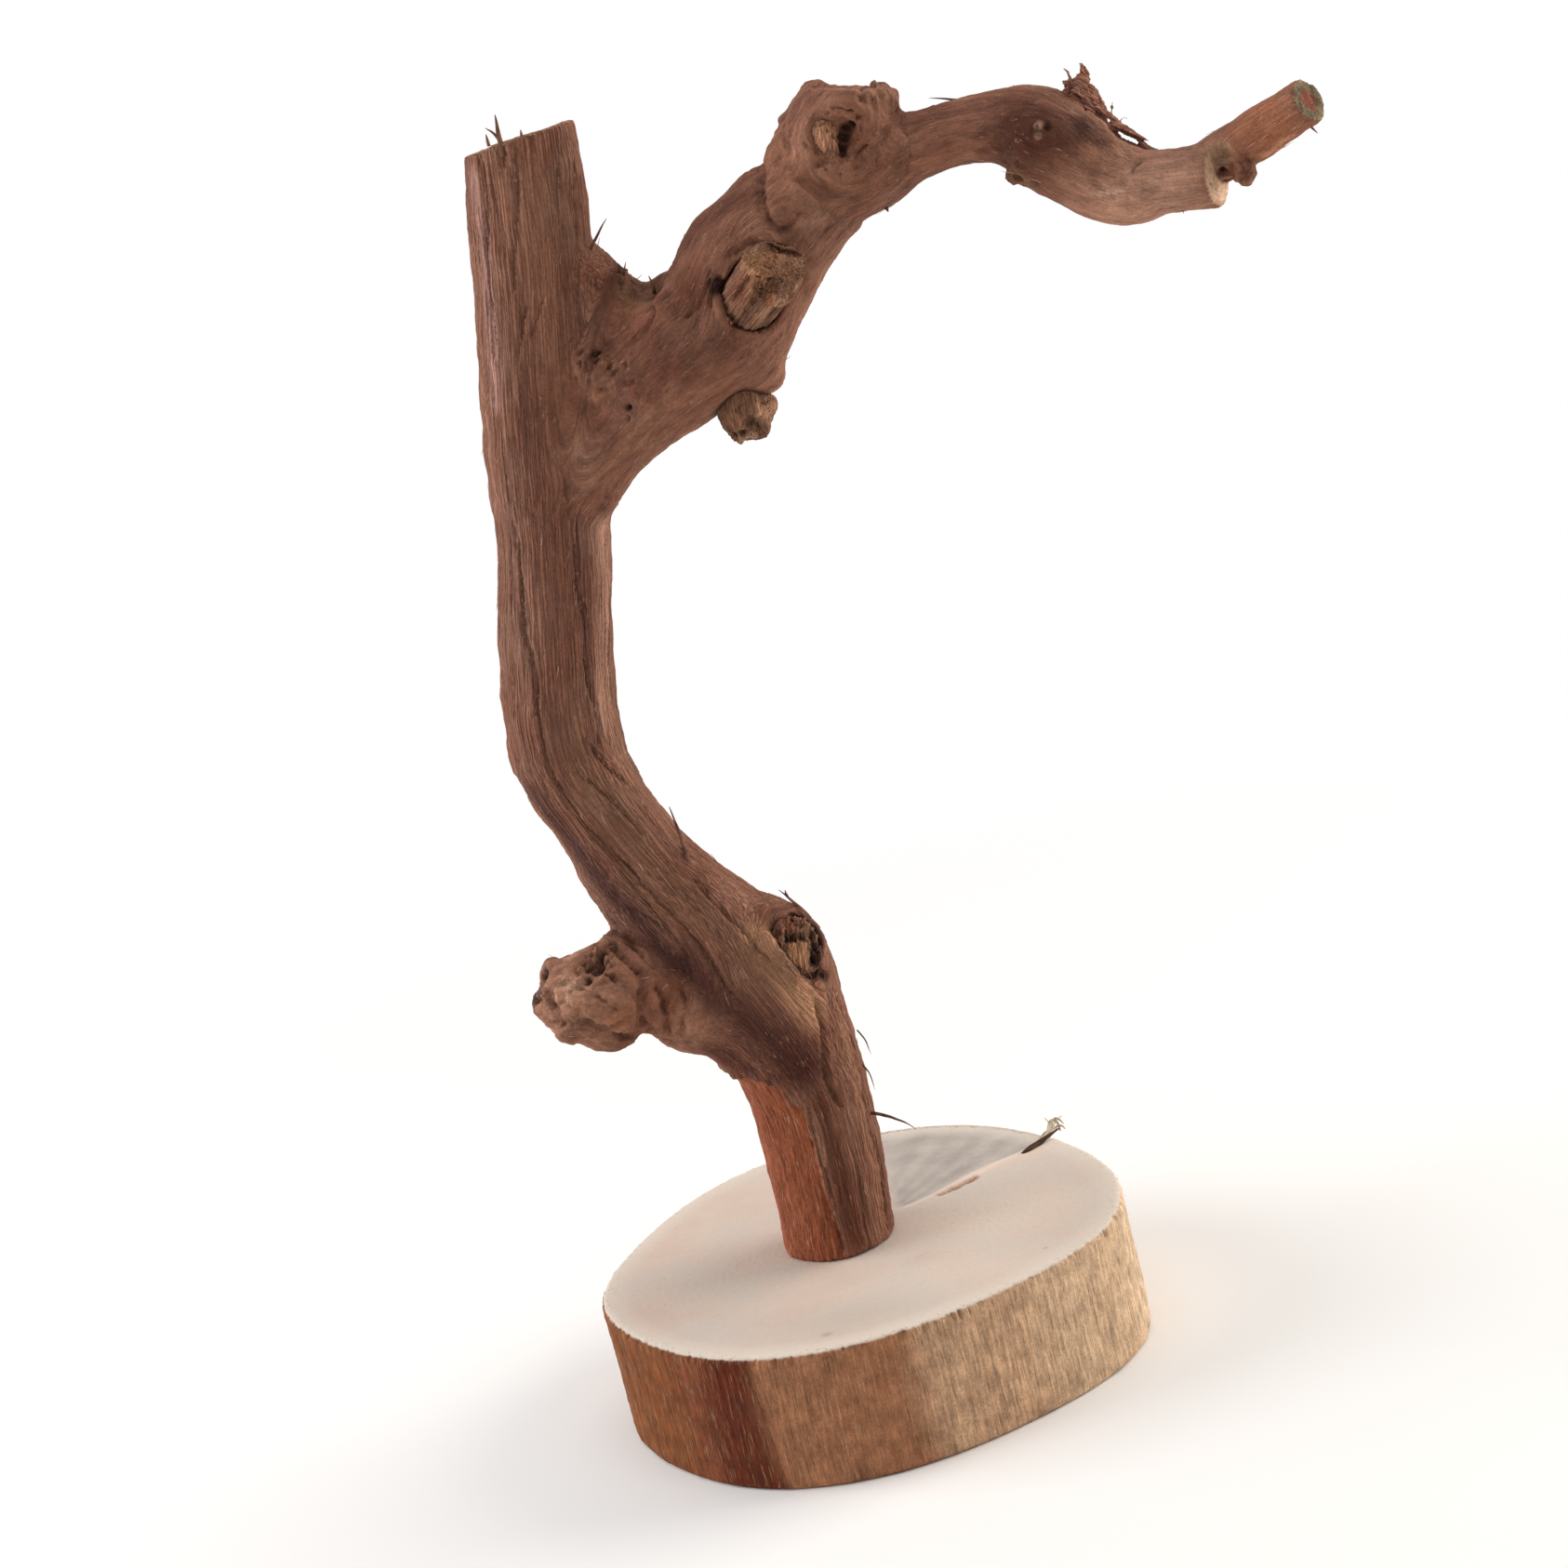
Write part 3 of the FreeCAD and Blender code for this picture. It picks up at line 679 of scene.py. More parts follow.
branchMake = {
    "voxel": 0.42, "quickVoxel": 0.75, "triangles": 194000, "hairy": 0.14,
    "soften": (220, 24), "quickSoften": (40, 8),   # passes at the joints, then everywhere
    "relief": {"Lump depth": 1.5, "Flute depth": 1.0, "Strand depth": 0.22, "Line depth": 0.32,
               "Wrinkle depth": 1.2, "Crack depth": 0.45, "Pit depth": 2.0, "Grit depth": 0.9},
    # sawn ends: how clear the rings are, colours of heart, ring and skin
    "ends": {"stem": (1, "#a8836a", "#ad8a70", "#8a6048"), "arm": (0.3, "#c4a083", "#caa789", "#ad866a"),
             "twig": (0, "#733d29", "#655a43", "#998062")},
    # peeled ground on the foot: mm lost, its right edge and lean, its upper edge and fall, its reach round the back
    "peel": {"depth": 0.8, "right": -3.4, "lean": 0.03, "top": 71.5, "fall": 1.25, "back": 9},
    "footSwell": 0.4,   # mm, so that the foot sits tight on the slice
    # places where two grains meet and the strands fade: place, reach in mm
    "calm": [((-9, -4, 224), 9), ((-12, -3, 212), 9), ((-14, -2, 203), 7), ((-16, -5, 224), 6),
             ((-16, -4, 214), 5.5)],
    "topTilt": 0.08,   # fall of the upper cut towards the back
    # rounded joints: place, reach in mm
    "joints": [((-12, 3, 207), 17), ((2, 3, 236), 7), ((46, -8, 254), 11), ((52, -8, 249), 10), ((-24, -5, 97), 9),
               ((113, -30, 239), 6), ((59, -9, 263), 7), ((-3, -3, 92), 20), ((-8, -3, 108), 12), ((88, -17, 251), 9),
               ((40, -6, 247), 9), ((-18, 6, 215), 16), ((22, -4, 214), 9), ((-9, -2, 220), 12)],
    # lumps grown on before the surface is drawn: centre, half sizes
    "lumps": [((-44.5, -15.5, 95.5), (5, 4.5, 3.2)), ((-47, -9, 106), (3.6, 4, 3.4)), ((-38, -12, 92), (5, 5, 4)),
              ((-48.5, -14, 101), (3.4, 3, 3)), ((-33, -6, 108), (3.6, 5, 3.4)), ((122, -36, 236), (2, 2.2, 2.6)),
              ((59.2, -10, 262.7), (3.6, 5, 4.4)), ((47, -5, 267), (3.5, 4, 3)), ((-42, -4, 100), (7, 6, 7)),
              ((121.8, -33.8, 237.4), (1.7, 2.2, 2.2)), ((83, -18, 244), (4, 4, 2.6)),
              ((40.6, -9, 264.2), (1.6, 1.4, 1.2)), ((57, -14, 259), (3, 3, 4)), ((23, -3, 217), (6.5, 6, 6.3)),
              ((15.5, -3, 215.8), (6, 5.5, 5.4)), ((-8.5, 0, 224), (6, 6.8, 9)), ((-11.5, 0.5, 213), (6, 6.6, 8)),
              ((49.3, -13.3, 259.2), (6.8, 4.3, 6.8)), ((53.8, -16.6, 258.6), (1.4, 1.8, 2.6)),
              ((50.6, -16.8, 255.2), (2.6, 1.7, 1.4)), ((49.6, -16.4, 263.6), (3.2, 1.8, 1.4)),
              ((44.4, -15.4, 258.6), (1.4, 2, 3.4)), ((6.2, -7, 100.9), (2.3, 2.3, 3)),
              ((4.8, -6.5, 104.4), (2.2, 2.2, 2.8)), ((7.6, -7.6, 97.4), (2.2, 2.2, 2.8)),
              ((-1.1, -15.3, 99.3), (2.4, 2.3, 3)), ((-2.5, -14.7, 102.8), (2.3, 2.2, 2.8)),
              ((0.4, -15.8, 95.8), (2.2, 2.1, 2.8))],
    # presses (minus) and swellings (plus): place, reach, depth in mm, how much painted shade falls in the press
    "stamps": [((-3.5, -8, 216.7), 0.8, -1.6, 0.9), ((-6.4, -5.3, 228.4), 0.7, -1.2, 0.8), ((-8, -6, 223), 4, 0.8, 0),
               ((-4, -7, 224), 3, 0.9, 0), ((-6, -5.5, 231.5), 3, 0.7, 0), ((-40.6, -18.4, 106.1), 1, -1.6, 0.7),
               ((-38.2, -16, 107.8), 2.4, -3.2, 0.6), ((-29, -17.5, 98.4), 1.8, 1, 0),
               ((-29.4, -15.4, 94), 1.8, 0.9, 0), ((-28.5, -16.5, 102), 1.6, 0.7, 0),
               ((-36.5, -13, 109.4), 1.5, -2.4, 0.75), ((-34, -9.9, 109), 1.7, -1.8, 0.5),
               ((-36.3, -16.6, 107.5), 1, 1.2, 0), ((-44.7, -18.7, 104.8), 0.7, -0.8, 0.5),
               ((-44.3, -19.7, 103.2), 1.5, 0.8, 0), ((-49.8, -11.2, 106.9), 2.4, -0.8, 0.75),
               ((-52.4, -10.7, 102.2), 2.2, 0.5, 0.75), ((-47.1, -18.4, 96.2), 3, 0.8, 0),
               ((-40.7, -14, 89.4), 4, 0.8, 0), ((14, -12.5, 236), 4, -0.8, 0), ((-14.5, -9, 76.4), 1.8, 0.8, 0),
               ((-11, -13.6, 75.4), 1.8, 0.8, 0), ((-16.5, -3, 77), 1.8, 0.9, 0),
               ((19.6, -14.8, 236.4), 1.8, -2.4, 0.8), ((97.4, -20, 252), 3, -0.6, 0.3),
               ((101, -21.4, 247), 3, -0.8, 0.35), ((97.5, -15, 252), 3.4, -0.6, 0.2),
               ((86.5, -26.5, 252.9), 0.6, 0.9, 0), ((86.1, -26.9, 251.1), 0.6, 0.7, 0),
               ((88.1, -26.9, 252.2), 0.9, -0.6, 0.7), ((-12.3, 0.9, 196.6), 3, 0.7, 0),
               ((118.3, -34.2, 236.8), 0.75, -2.4, 0.8), ((118.8, -32, 234.8), 0.7, -1.8, 0.9),
               ((6.5, -4, 237.6), 2.8, -2.2, 0.5), ((6.8, 0, 238.6), 2.8, -2.2, 0.4),
               ((33.1, -11.7, 255.6), 2.4, -1.8, 0.2), ((33.6, -6, 257.6), 2.6, -2.4, 0.1),
               ((34, 0, 257), 2.6, -2.2, 0), ((51.8, -17.8, 260.9), 0.9, -2, 0.8),
               ((51.1, -17.9, 260.1), 1.1, -2.2, 0.8), ((50.4, -18, 259.2), 1.2, -2.4, 0.85),
               ((49.7, -18.1, 258.2), 1.1, -2.2, 0.8), ((49, -18.2, 257.4), 0.8, -1.6, 0.7),
               ((-45.2, 4.6, 149.6), 4, 0.6, 0), ((49, -18, 266.5), 3, 0.6, 0), ((5.1, -13, 94.4), 2, -2.6, 1),
               ((7, -11.5, 92.4), 1.2, -1.2, 0.9), ((31.2, -8, 254.6), 2.6, -1.2, 0),
               ((31.4, 0, 255.6), 2.6, -1.2, 0), ((20, -9, 246), 6, 0.9, 0), ((20, -1, 246.6), 6, 0.9, 0),
               ((118.6, -35.2, 240.2), 1.8, -1.6, 0.2), ((-13.4, -4, 64), 8, 1.5, 0), ((-13.2, -3, 55), 8, 1.2, 0),
               ((-13.4, -2, 45), 8, 1.2, 0), ((-13.8, -1, 35), 7, 1.1, 0), ((39.4, -9, 260.5), 4, 1.2, 0),
               ((38.6, -9, 257), 4, 1, 0)],
    # raised lips round sunken knots: centre, way they face, radius, height in mm
    "lips": [((49.3, -18, 259.2), (0, -1, 0.1), 7, 0.4), ((28, -14, 234), (-0.3, -0.8, 0.3), 8.6, 0.7),
             ((121.5, -37.6, 235.9), (0.1, -1, 0.1), 1.7, 0.4), ((121.5, -38.4, 235.9), (0.1, -1, 0.1), 0.4, 0.4)],
    # torn and pitted spots: centre, reach, count, size, depth, how much painted shade falls in the tears
    "ragged": [((-8.4, -6, 227.4), 3.4, 22, 1, -1.1, 0.9), ((-6.5, -6.6, 223), 6, 70, 1, -0.8, 0.4),
               ((49.5, -18, 259), 7, 90, 1.1, -0.8, 0.3), ((-3.5, -7.6, 217), 3, 8, 0.9, -0.7, 0.5),
               ((-38, -15.5, 107.5), 4.6, 60, 1.2, -1.9, 0.8), ((-36, -13, 109), 3.4, 30, 1.1, -1.8, 0.8),
               ((-50.8, -12, 104.5), 3.8, 44, 1.2, -1.5, 0.75), ((-43, -16, 98), 10, 70, 1.5, -0.9, 0.22),
               ((-44, -18, 103), 5, 18, 0.9, -0.5, 0.25), ((60, -14, 264.5), 5, 34, 1, -0.8, 0.4),
               ((3, -1, 240.5), 5, 26, 1.2, -1.1, 0.45), ((81.5, -21, 243.8), 4, 24, 1, -1, 0.5),
               ((118.6, -34, 237), 4.6, 34, 0.9, -0.7, 0.25), ((122.2, -37.6, 235.8), 2.2, 16, 0.8, -0.7, 0.6),
               ((136.6, -45.2, 248.2), 4.4, 40, 0.7, -0.35, 0.3), ((98.4, -20.6, 249.6), 5, 18, 1.2, -0.7, 0.3),
               ((49.5, -18, 254), 4, 12, 1, -0.5, 0.25)],
    "contacts": {"arm_stub": 0.8, "under_nub": 2, "lower_knot": 1.0},   # reach of the painted contact shade round these, mm
    # weathered, gritty places: place, reach in mm, strength
    "worn": [((56, -9, 267), 10, 1), ((50, -8, 270), 7, 0.6), ((-40, -10, 100), 17, 0.5), ((-50, -13, 103), 8, 1),
             ((118, -34, 236), 4, 0.5), ((-5, -6, 225), 10, 0.4), ((3, 0, 241), 6, 0.8), ((-11, 2, 198), 6, 0.5),
             ((81.5, -20, 243.5), 6, 1), ((-22, 2, 146), 6, 0.4), ((136, -45, 248), 4, 0.5),
             ((-36, -12, 109), 7, 0.9), ((121.5, -36, 235.9), 3.5, 0.7), ((40, -9, 264), 3, 0.6)],
    # places with more torn fibres, in the same way
    "frayed": [((3, 0, 241), 9, 1), ((-22.7, -3.6, 194.2), 7, 1), ((-11.2, 3, 274), 14, 0.6),
               ((126, -40, 241.5), 9, 0.9), ((-9.5, -14.7, 72.2), 7, 1), ((-5, -6, 222), 11, 1),
               ((-20, -3, 140), 12, 0.5), ((-14, -8, 118), 9, 0.8), ((81.5, -20, 243.5), 6, 1),
               ((2, -14, 40), 12, 0.6)],
    # long splits and seams drawn on the surface: path, half width, depth
    "grooves": {
        "uprightLeft": ([(-19.3, -5.5, 272.5), (-20.1, -5.1, 264.7), (-21.6, -4.3, 257.9), (-23.2, -3.4, 251.1),
                         (-24.6, -3, 243.9), (-25.9, -2.6, 237), (-27.2, -2, 231.4)], 0.5, 0.9),
        "uprightMid": ([(-12.1, -8.6, 272), (-14, -7.9, 263.5), (-16.5, -7.2, 255.1), (-18.2, -6.7, 250.2),
                        (-19.7, -6.2, 243.1)], 0.35, 0.5),
        "uprightNotch": ([(-14.9, -8.2, 274.4), (-15.3, -7.9, 270.3), (-15.9, -7.8, 267.5)], 0.8, 1.3),
        "forkLeft": ([(-22.6, -5.1, 230.7), (-19.2, -6.3, 239.4), (-17.8, -6.6, 241.8)], 0.45, 0.6),
        "forkMid": ([(-18.7, -6.1, 234.5), (-16.7, -6.5, 237.8), (-13.7, -6.7, 242.4)], 0.4, 0.5),
        "uprightRight": ([(-2, -2.6, 266.5), (-3.4, -3.4, 260.4), (-4.3, -3.1, 254.2),
                          (-4.8, -2.8, 249.9)], 0.35, 0.6),
        "uprightFine": ([(-4.7, -5.8, 267.1), (-6.7, -6.3, 260.2)], 0.3, 0.4),
        "crotchCrack": ([(6.4, -6, 236.9), (6.3, -9.1, 234.3), (4.3, -9.8, 231.5), (1.4, -8.6, 229.6),
                         (-1, -7.4, 228.9)], 0.5, 0.9),
        "stemRight": ([(-19.3, -4, 206.1), (-20.2, -4, 202), (-20.4, -3.5, 197.9), (-20.7, -3, 193.5),
                       (-21.8, -2.9, 189), (-23.3, -2.8, 182), (-23.2, -2.2, 175.7), (-25.8, -2.9, 166.3),
                       (-25.9, -2.7, 161), (-25.7, -2.4, 154.2), (-26.8, -3.6, 148.1)], 0.4, 0.6),
        "scrape": ([(-13.2, -2, 199.7), (-10.4, 2.2, 197.2)], 0.5, 0.7),
        "stemLeft": ([(-31.8, -1, 198.9), (-32.7, -1.1, 191.7), (-34.5, -1.4, 182), (-35.8, -1.7, 175.8),
                      (-35.2, -2.8, 171.7), (-35.9, -3.4, 166), (-36.7, -4, 160.1), (-37.6, -4.8, 152.8),
                      (-37.3, -5.2, 146.2), (-36.3, -5.2, 140.6), (-34.2, -6, 135.1), (-31, -7.7, 130),
                      (-28.5, -9, 126.1), (-26.2, -9.9, 123.1), (-22.7, -12.1, 116.5), (-18.2, -14.5, 110),
                      (-15.7, -16.2, 105.3), (-14.1, -17.8, 98.4), (-11.9, -18.4, 94.1)], 0.45, 0.7),
        "elbowStrip": ([(-28.2, -4.4, 150.3), (-26.8, -3.7, 146.1), (-23.1, -2.1, 140.6), (-20.6, -2.7, 134.7),
                        (-18.7, -4.9, 128.5), (-18, -6.2, 125.6)], 0.38, 0.6),
        "wavy": ([(-32.3, -5.7, 146), (-27.5, -5.5, 139.4), (-24.4, -6.1, 134), (-20.7, -7.6, 126.7),
                  (-17.4, -9.7, 120.3)], 0.35, 0.45),
        "bossTop": ([(-14.7, -8.9, 119.3), (-12.2, -11.3, 114.5), (-9.6, -13.2, 109.8), (-6.6, -14.7, 105),
                     (-4, -15.9, 100.1), (0.7, -14.8, 95.6), (3.6, -13.8, 91.4), (5.6, -12.5, 87.4)], 0.45, 0.7),
        "footRidge": ([(3.4, -14.4, 88.7), (4, -14.3, 83.3), (2.7, -15.2, 76.3), (2, -15.1, 71.4), (2.5, -14.8, 68.8),
                       (3.4, -13.8, 63.5)], 0.6, 1.1),
        "footRight": ([(8.3, -9.8, 87.7), (9.3, -6.8, 78.4), (8.9, -8.6, 71.3), (8.6, -9, 63.8), (8.1, -8.8, 55.5),
                       (8.3, -6.6, 46.8), (7.3, -6.6, 37.5), (6.7, -6.8, 31)], 0.5, 0.9),
        "peelSeam": ([(-3.1, -15.5, 66.8), (-3.5, -14.7, 60.4), (-3.4, -14.2, 54.8), (-2.9, -13.9, 50.7),
                      (-3.1, -13.5, 45), (-3.5, -12.9, 37.1), (-3.9, -12.4, 30.5)], 0.6, 1),
        "collarTop": ([(-34.2, -10.5, 109), (-31.7, -14.6, 106.4), (-29, -16.3, 102.8)], 1.1, 2.6),
        "collarBack": ([(-30.2, -17.4, 102.3), (-31.1, -17.6, 96.6), (-31.6, -15.6, 91.8),
                        (-30, -8, 87.5)], 1.1, 2.6),
        "collarMid": ([(-28.5, -16.7, 101.4), (-26.6, -17.1, 98.1), (-27.1, -14.3, 88.6)], 0.7, 1.5),
        "collarFront": ([(-22.5, -16.3, 99.6), (-22.1, -17.3, 96), (-25.3, -15.2, 88.4)], 0.6, 1),
        "burlStreak": ([(-34.3, -4.5, 115.2), (-31.7, -6.4, 108.9), (-28.1, -14.3, 104.9),
                        (-24.3, -15.7, 101.5)], 0.4, 0.6),
        "knuckleCrack": ([(57.4, -6, 270.1), (56.2, -14, 269), (55.6, -17.4, 266.8), (54.7, -18, 264.1)], 0.5, 1.2),
        "knuckleLeft": ([(41.8, -14.2, 263.1), (40.1, -13.3, 260.9), (39.3, -13.6, 257.6)], 0.4, 0.6),
        "neckRing": ([(61.9, -14.6, 258), (62.6, -16.5, 255.6), (61.8, -16.6, 251), (59.8, -15.4, 247.1)], 0.5, 0.5),
        "eyeLowLeft": ([(44.4, -17.4, 256.5), (45.3, -18, 254), (46.6, -18.2, 252.3)], 0.4, 0.7),
        "eyeLowRight": ([(55.4, -17.7, 258), (53.3, -18.1, 255.6), (50.8, -18.5, 253.9)], 0.45, 0.8),
        "eyeFar": ([(55.8, -17.9, 255), (55, -18.3, 251.4)], 0.4, 0.6),
        "armCrackA": ([(105.9, -28.1, 242.9), (103.6, -29.8, 242), (101.7, -30.3, 240.9),
                       (101.9, -31, 239)], 0.35, 0.5),
        "armCrackB": ([(99.2, -30.8, 237.2), (99.8, -30.8, 235.7), (101, -30.9, 234.6)], 0.4, 0.5),
        "armCrackC": ([(103, -30.3, 232.6), (104.6, -30.6, 232.9)], 0.35, 0.5),
        "foldTop": ([(22.7, -15, 241), (24.4, -15.5, 242.4), (28.6, -16.6, 243.6), (33.7, -16.5, 241.2),
                     (35.9, -15.7, 237.1)], 0.6, 1),
        "foldLeft": ([(20.4, -14.6, 239.2), (17.6, -15, 235.2), (18, -15.7, 231.5)], 0.5, 0.8),
        "foldFar": ([(11.5, -13.5, 231.5), (14.8, -14.1, 233.6), (17.4, -14.4, 236.7), (19.8, -13.2, 241)], 0.4, 0.6),
        "knuckleFold": ([(33.6, -5, 257), (33.1, -9, 256.6), (32.6, -13.3, 254.1), (32.1, -15.4, 250.7),
                         (32.2, -16.8, 247.1), (33.9, -17.4, 244.7), (36.5, -17.7, 245),
                         (38.9, -18.1, 247.4)], 0.8, 1.1),
        "eyeCrescent": ([(46.4, -17.4, 263.2), (44.8, -17.5, 261.6), (44.3, -17.6, 259.2),
                         (45, -17.8, 256.4)], 0.5, 1.1),
        "eyeBrow": ([(47, -17.6, 264.6), (50.4, -17.6, 265), (53.4, -17.8, 263.4), (55.2, -17.8, 260.6)], 0.4, 0.6),
        "knotCrescent": ([(-0.7, -13.1, 106.8), (-0.9, -14.6, 103.7), (0.2, -15.6, 99.9), (2.3, -15.6, 96.4),
                          (5, -14.8, 94)], 0.8, 1.5),
        "knotFarEdge": ([(3.2, -10.4, 106.8), (5.6, -10, 104.4), (6.9, -10.2, 101.7), (7.4, -12, 96.7)], 0.5, 0.8),
        "burlLip": ([(-49.4, -17, 98.6), (-48.4, -18.4, 98.2), (-43, -20.5, 98.4), (-40.9, -20.2, 95.8),
                     (-36.3, -16.9, 92), (-33.1, -11.6, 89.8)], 0.8, 1.9),
        "burlFaceA": ([(-46.7, -17.2, 106), (-44.2, -17.5, 106.5), (-41.6, -19, 104.4), (-39.6, -20.2, 103.1),
                       (-36.6, -20.7, 99.4)], 0.5, 0.9),
        "burlFaceB": ([(-50.6, -14.6, 103.4), (-48.2, -17.6, 102.2), (-46.4, -19, 100.6)], 0.5, 1),
    },
    # paint dabs: place or path, reach in mm, colour, strength, stretch along the grain unless round
    "dabs": [
        ([(-42.4, -1, 143.3), (-37.3, -3.7, 130.5), (-32.6, -7.5, 121), (-27, -11.4, 112),
          (-21.1, -15.2, 102.7)], 4.6, "#3e201a", 0.85),
        ([(-21.1, -15.2, 102.7), (-15.3, -17.7, 94.8), (-8.2, -18.7, 86.1),
          (-2.7, -16.7, 75.4)], 7.5, "#42221a", 0.85),
        ([(-0.1, -15.3, 66.8), (0.4, -14.6, 59.7), (0.2, -13.7, 46.5), (0, -12.8, 33)], 4.2, "#532b1a", 0.8),
        ([(-31.7, -5.7, 149.9), (-24.4, -6.9, 132.2), (-17.8, -11.1, 118.1), (-10.4, -15.2, 106.7),
          (-3.7, -17.3, 95.3), (2.3, -15.6, 85.8)], 4.4, "#76513d", 0.7),
        ([(8.5, -9.3, 85.6), (8.1, -10, 67.5), (7.5, -9.3, 52.6), (6.8, -7.4, 33)], 3, "#8a6149", 0.75),
        # the stem's right edge is painted paler, partly its own tan and partly painted light on the lit edge
        ([(-14.4, 2, 194), (-17.9, 2.5, 178.7), (-21.5, 1.4, 163.8), (-24.5, -1.3, 153)], 4.6, "#a87d68", 0.75),
        ([(-22.8, -4.5, 205), (-24.8, -3.6, 189.8), (-28.8, -3.8, 170.9), (-33.5, -5.1, 156.3)], 5, "#6d4334", 0.55),
        # the upright's left edge is painted paler, partly its own pinkish tone and partly painted light on the lit
        # edge
        ([(-21.6, -3.2, 267.7), (-23.7, -3, 251.3), (-26.2, -2.3, 236.6),
          (-29.2, -1.2, 221.8)], 3.4, "#a0766a", 0.75),
        ([(-21.3, -5.5, 241.5), (-22.4, -5.2, 232.2), (-26.1, -3.6, 223.3),
          (-30.5, -1.1, 212.4)], 2.6, "#865a44", 0.6),
        ([(-3.1, -3.2, 244.2), (-1.3, -5.8, 236.5), (3.4, -8.1, 232.8)], 7, "#8a5742", 0.7),
        ([(-14, -7, 270), (-15, -7, 250), (-17, -6.6, 232)], 7, "#956650", 0.65),
        ([(-4, -14, 104), (-2, -15, 96), (3, -15, 86)], 6, "#b08161", 0.85),
        ([(16.4, -6.5, 245), (23.9, -9.1, 250.4), (30.9, -13.2, 252.8)], 5, "#532d21", 0.7),
        # painted shade: the knee and the hollow beside the torn bark are painted dark where shade and the shreds'
        # shadow fall
        ((84, -25, 252), 16, "#3c180c", 0.9), ((78, -21, 250), 8, "#3b1c11", 0.7),
        ((94.6, -26, 250.2), 5.6, "#2b120c", 0.9), ((98, -26.4, 246.6), 4.2, "#361910", 0.8),
        # the arm's lower bulge is painted paler, partly its own tan and partly painted light bounced up from below
        ((98, -28, 235), 14, "#ad8069", 0.85, 1.2), ((108, -31, 237), 11, "#a27a65", 0.85, 1.4),
        ((129, -39, 243.5), 11, "#90563a", 0.95, 1.2), ((121, -34, 240), 6, "#8a573f", 0.7),
        ((70, -16, 254), 12, "#845643", 0.7, 1.3), ((67, -11, 259), 8, "#4e2517", 0.75, 1.5),
        ((42, -12, 256), 11, "#9c6b53", 0.9), ((50, -15, 251), 8, "#835945", 0.7),
        ((58, -14, 265), 8, "#7c5742", 0.85), ((62, -14, 255), 6, "#8f6450", 0.6),
        # painted shade: the cleft and recess left of the stub are painted dark
        ((14, -13, 236), 8, "#4c2414", 0.8), ((19.6, -15, 236.6), 3.4, "#20100b", 0.95),
        ((24, -10, 221), 13, "#764d3d", 0.6, 1.2), ((-6.5, -6.6, 223), 6.5, "#7c5644", 0.75),
        ((-9.6, -6, 219.6), 4.5, "#774f3b", 0.65), ((-4.4, -7.4, 225), 3.5, "#825b45", 0.6),
        ((-1.6, -8, 219.6), 1.8, "#7a3f2c", 0.7), ((8, -9, 226), 12, "#462013", 0.75, 1.2),
        ((18, -13, 226), 10, "#502819", 0.65), ((2, -4, 238), 8, "#6e4c36", 0.7),
        ((-3, -15, 76), 8, "#441e16", 0.9, 1.4), ((-13, -11, 78), 6, "#471f12", 0.85, 1.4),
        ((-42, -12, 100), 13, "#b7896e", 0.9), ((-17, -12, 81), 9, "#451a08", 0.95),
        ((-44, -17, 104), 5, "#d2a78b", 0.8), ((-51, -12, 104), 3.5, "#54423a", 0.8),
        ((-37, -15, 109), 4.5, "#583a29", 0.85), ((-25, -15, 98), 7, "#68402b", 0.75),
        ((-36, -19, 97), 5, "#74492f", 0.75), ((-35, -17, 93), 4, "#6d442e", 0.7),
        ((81.5, -20, 243.5), 5, "#74533b", 0.8), ((-11.2, 3, 277), 12.5, "#a8836a", 0.9),
        ((-24, 2, 150), 6, "#8f6852", 0.7, 3), ((-33, 0, 185), 5, "#8d6654", 0.6, 9),
        ((122.1, -37, 235.8), 3, "#6a402e", 0.9), ((86.3, -26.7, 252), 2.2, "#2d1710", 0.7),
        ((86.5, -26.5, 252.9), 0.95, "#d2ab8c", 1), ((86.1, -26.9, 251.1), 0.85, "#c0987a", 1),
        ((118, -35, 240.4), 4.2, "#b08d70", 0.95),
        ([(94, -29.2, 238), (96.5, -30, 237.7), (98.8, -30.7, 237.8)], 0.9, "#d2ad95", 0.8),
        ([(126, -38.4, 238.8), (127.7, -39.4, 239.4), (129.4, -41.8, 241), (132, -42.5, 241.3)], 1.3, "#bf8a69", 0.7),
    ],
}


